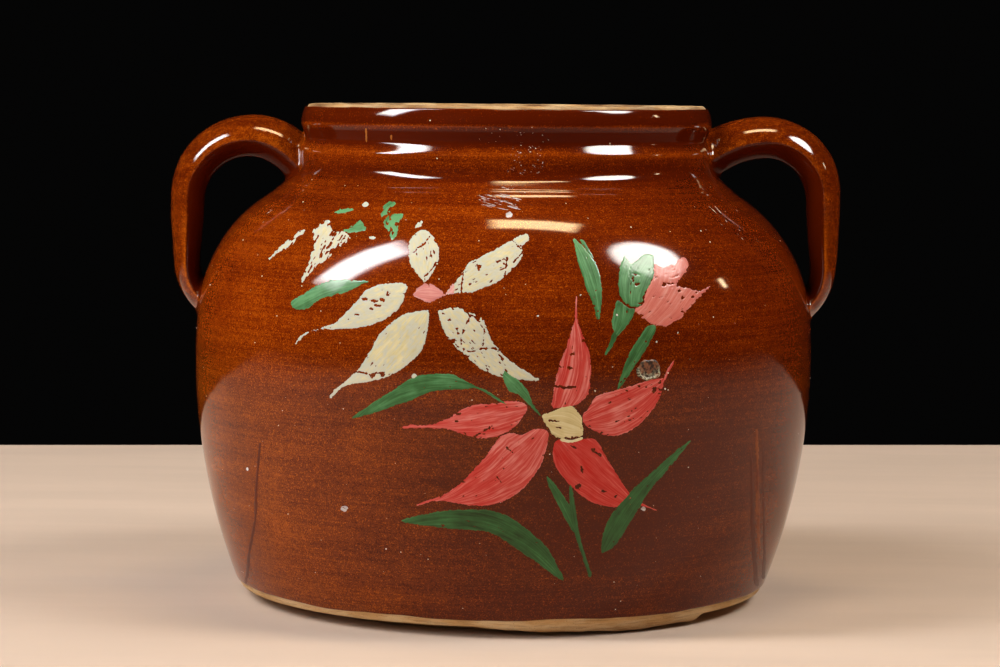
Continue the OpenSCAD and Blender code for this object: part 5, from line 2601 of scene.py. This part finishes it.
@dataclass(frozen=True)
class Softbox:
    """A studio lamp with a flat face, aimed at the jar. Its places and sizes are in metres."""

    name: str
    place: Triple
    size: Point
    radiance: float
    colour: Colour = (1.0, 1.0, 1.0)
    level: Triple = (0.0, 1.0, 0.0)
    form: LampForm = LampForm.PANEL
    aim: Triple = (0.0, 0.0, 0.13)
    gleam: float = 0.0
    fade: float = 0.25
    layers: int = 4
    spacing: float = 0.006

    def hang(self) -> None:
        """Add the lamp to the scene: the light that it sheds, and the image of it that the glaze mirrors."""
        self.face(1.0, self.radiance, 0.0, mirrored=False)
        if self.gleam:
            sizes = np.linspace(1.0 - self.fade / 2, 1.0 + self.fade / 2, self.layers)
            for order, grown in enumerate(sizes):
                self.face(float(grown), self.gleam / self.layers, self.spacing * (order + 1), mirrored=True)

    def face(self, grown: float, radiance: float, back: float, mirrored: bool) -> None:
        """Add one lit face, with its first side along the level direction.

        Args:
            grown: Its size as a share of the lamp's.
            radiance: Its light.
            back: How far it hangs behind the lamp's place.
            mirrored: Whether it is seen in glossy surfaces, or lights up the rough ones.
        """
        data = bpy.data.lights.new(self.name, "AREA")
        data.shape = self.form.value
        data.size, data.size_y = (side * grown for side in self.size)
        area = data.size * data.size_y * (1.0 if self.form is LampForm.PANEL else math.pi / 4)
        data.energy = radiance * math.pi * area
        data.color = self.colour
        lamp = bpy.data.objects.new(self.name, data)
        out = (Vector(self.place) - Vector(self.aim)).normalized()
        along = Vector(self.level)
        along = (along - along.dot(out) * out).normalized()
        turn = Matrix((along, out.cross(along), out)).transposed()
        lamp.matrix_world = Matrix.Translation(Vector(self.place) + back * out) @ turn.to_4x4()
        lamp.visible_glossy = mirrored
        lamp.visible_diffuse = not mirrored
        bpy.context.scene.collection.objects.link(lamp)


LAMPS = (
    Softbox("left_softbox", (-0.90, -0.359, 0.997), (0.26, 0.76), 23.0, gleam=60.0, fade=0.35),
    Softbox("right_softbox", (0.859, -0.268, 1.068), (0.50, 0.56), 15.0, (1.0, 0.95, 0.88),
            form=LampForm.ROUND, gleam=56.0, fade=0.2),
    Softbox("top_strip", (0.13, -0.055, 1.134), (0.36, 0.15), 12.0, (1.0, 0.70, 0.36),
            level=(1.0, 0.0, 0.0), aim=(0.13, -0.055, 0.0), gleam=44.0),
    Softbox("side_lamp", (1.105, 0.071, 0.596), (0.04, 0.09), 30.0, (1.0, 0.72, 0.42), gleam=48.0),
    Softbox("front_fill", (-0.75, -1.25, 0.75), (0.7, 0.7), 6.0),
    Softbox("back_left", (-0.9, 1.1, 0.55), (0.5, 0.5), 2.0),
    Softbox("back_right", (0.9, 1.1, 0.55), (0.5, 0.5), 2.0),
)


@dataclass
class Studio:
    """The pale table, the dark room and the lamps that the jar is shown with."""

    camera: PhotoCamera
    back_edge_y: float = 445.0
    front_y: float = -2600.0
    half_width: float = 2600.0
    board_t: float = 30.0
    board: Colour = (0.60, 0.455, 0.355)
    board_shade: float = 0.93
    board_cloud: Triple = (0.004, 0.02, 0.02)
    cloud_range: Point = (0.35, 0.65)
    board_roughness: float = 0.75
    air: Colour = (1.0, 0.97, 0.94)
    fill: float = 0.05
    dark: float = 0.0015

    def table(self) -> None:
        """Add a plain pale table top, whose back edge lies level in the picture."""
        left = self.camera.on_level((0.0, self.back_edge_y))
        right = self.camera.on_level((self.camera.width, self.back_edge_y))
        slope = (right[1] - left[1]) / (right[0] - left[0])
        x = np.array([-self.half_width, self.half_width])
        back = left[1] + slope * (x - left[0])
        corners = [(x[0], self.front_y), (x[1], self.front_y), (x[1], back[1]), (x[0], back[0])]
        points = [(px, py, pz) for pz in (-self.board_t, 0.0) for px, py in corners]
        faces = [(3, 2, 1, 0), (4, 5, 6, 7)]
        faces += [(k, (k + 1) % 4, 4 + (k + 1) % 4, 4 + k) for k in range(4)]
        mesh = bpy.data.meshes.new("table_top")
        mesh.from_pydata((np.array(points) * MM).tolist(), [], faces)
        nodes = MaterialNodes("pale_table")
        tone = nodes.noise(nodes.place(self.board_cloud), detail=4.0, rough=0.55)
        shade = tuple(self.board_shade * c for c in self.board)
        colour = nodes.mix(nodes.ranged(tone, *self.cloud_range), shade, self.board)
        nodes.dress(Base_Color=colour, Roughness=self.board_roughness)
        mesh.materials.append(nodes.material)
        top = bpy.data.objects.new("table_top", mesh)
        bpy.context.scene.collection.objects.link(top)

    def room(self) -> None:
        """Make the room dark to the camera and in reflections, with a weak even fill."""
        world = bpy.data.worlds.new("studio")
        world.use_nodes = True
        tree = world.node_tree
        path = tree.nodes.new("ShaderNodeLightPath")
        seen = path.outputs["Is Camera Ray"]
        for ray in ("Is Glossy Ray", "Is Transmission Ray"):
            either = tree.nodes.new("ShaderNodeMath")
            either.operation = "MAXIMUM"
            tree.links.new(seen, either.inputs[0])
            tree.links.new(path.outputs[ray], either.inputs[1])
            seen = either.outputs[0]
        level = tree.nodes.new("ShaderNodeMapRange")
        tree.links.new(seen, level.inputs["Value"])
        level.inputs["To Min"].default_value = self.fill
        level.inputs["To Max"].default_value = self.dark
        background = tree.nodes["Background"]
        tree.links.new(level.outputs["Result"], background.inputs["Strength"])
        background.inputs["Color"].default_value = (*self.air, 1.0)
        bpy.context.scene.world = world

    def build(self) -> None:
        """Set the studio up."""
        self.table()
        self.room()
        for lamp in LAMPS:
            lamp.hang()
        self.camera.place()
        bpy.context.scene.view_settings.view_transform = "Standard"


def pulled_glaze(name: str, level: float) -> GlazeFinish:
    """The glaze of a pulled handle: mottled rather than streaked, and golden where it is thin."""
    return GlazeFinish(name, body=(0.185, 0.0265, 0.001), amber=(0.42, 0.088, 0.004), level=level,
                       streak=0.12, mottling=0.9)


# The drift is painted shade: the tone falls towards the right, where less light falls, and with height.
OUTER_GLAZE = GlazeFinish("brown_glaze", level=0.44, drift=(-0.0014, 0.0, -0.0010))
LINING_GLAZE = GlazeFinish("lining_glaze", body=(0.16, 0.03, 0.005), amber=(0.30, 0.08, 0.012))
PALE_GRAINS = PaintFinish("pale_grains", (0.35, 0.24, 0.16), (0.62, 0.52, 0.42), (0.82, 0.76, 0.68),
                          roughness=0.5)


def main() -> None:
    """Build the jar piece by piece, and the studio round it."""
    logging.basicConfig(level=logging.INFO, format="%(message)s")
    shape, camera = JarShape(), PhotoCamera()
    wall = GlazedWall(shape)
    ClayVessel(shape, camera).build(ClayFinish("bare_clay"))
    GlazeCoat(wall).build(OUTER_GLAZE)
    GlazeLining(shape).build(LINING_GLAZE)
    # The right handle's glaze is set darker than the left's: painted shade, as less light falls on the right
    # side.
    left = PulledHandle(wall, Side.LEFT, handle_drop=11.5, root_rise_a=math.radians(44.0), root_arc_r=21.7)
    glaze = pulled_glaze("left_handle_glaze", 0.30)
    left.build(glaze, "handle_left", "left_handle", "left_handle_glaze")
    right = PulledHandle(wall, Side.RIGHT, handle_drop=10.8, root_rise_a=math.radians(30.0), root_arc_r=33.0)
    glaze = pulled_glaze("right_handle_glaze", 0.26)
    right.build(glaze, "handle_right", "right_handle", "right_handle_glaze")
    PaintedFront(wall, camera).build()
    BlisterScar(wall, camera).build(ScarFinish("burst_glaze"))
    Flecks(wall, camera).build(PALE_GRAINS)
    Studio(camera).build()


if __name__ == "__main__":
    main()
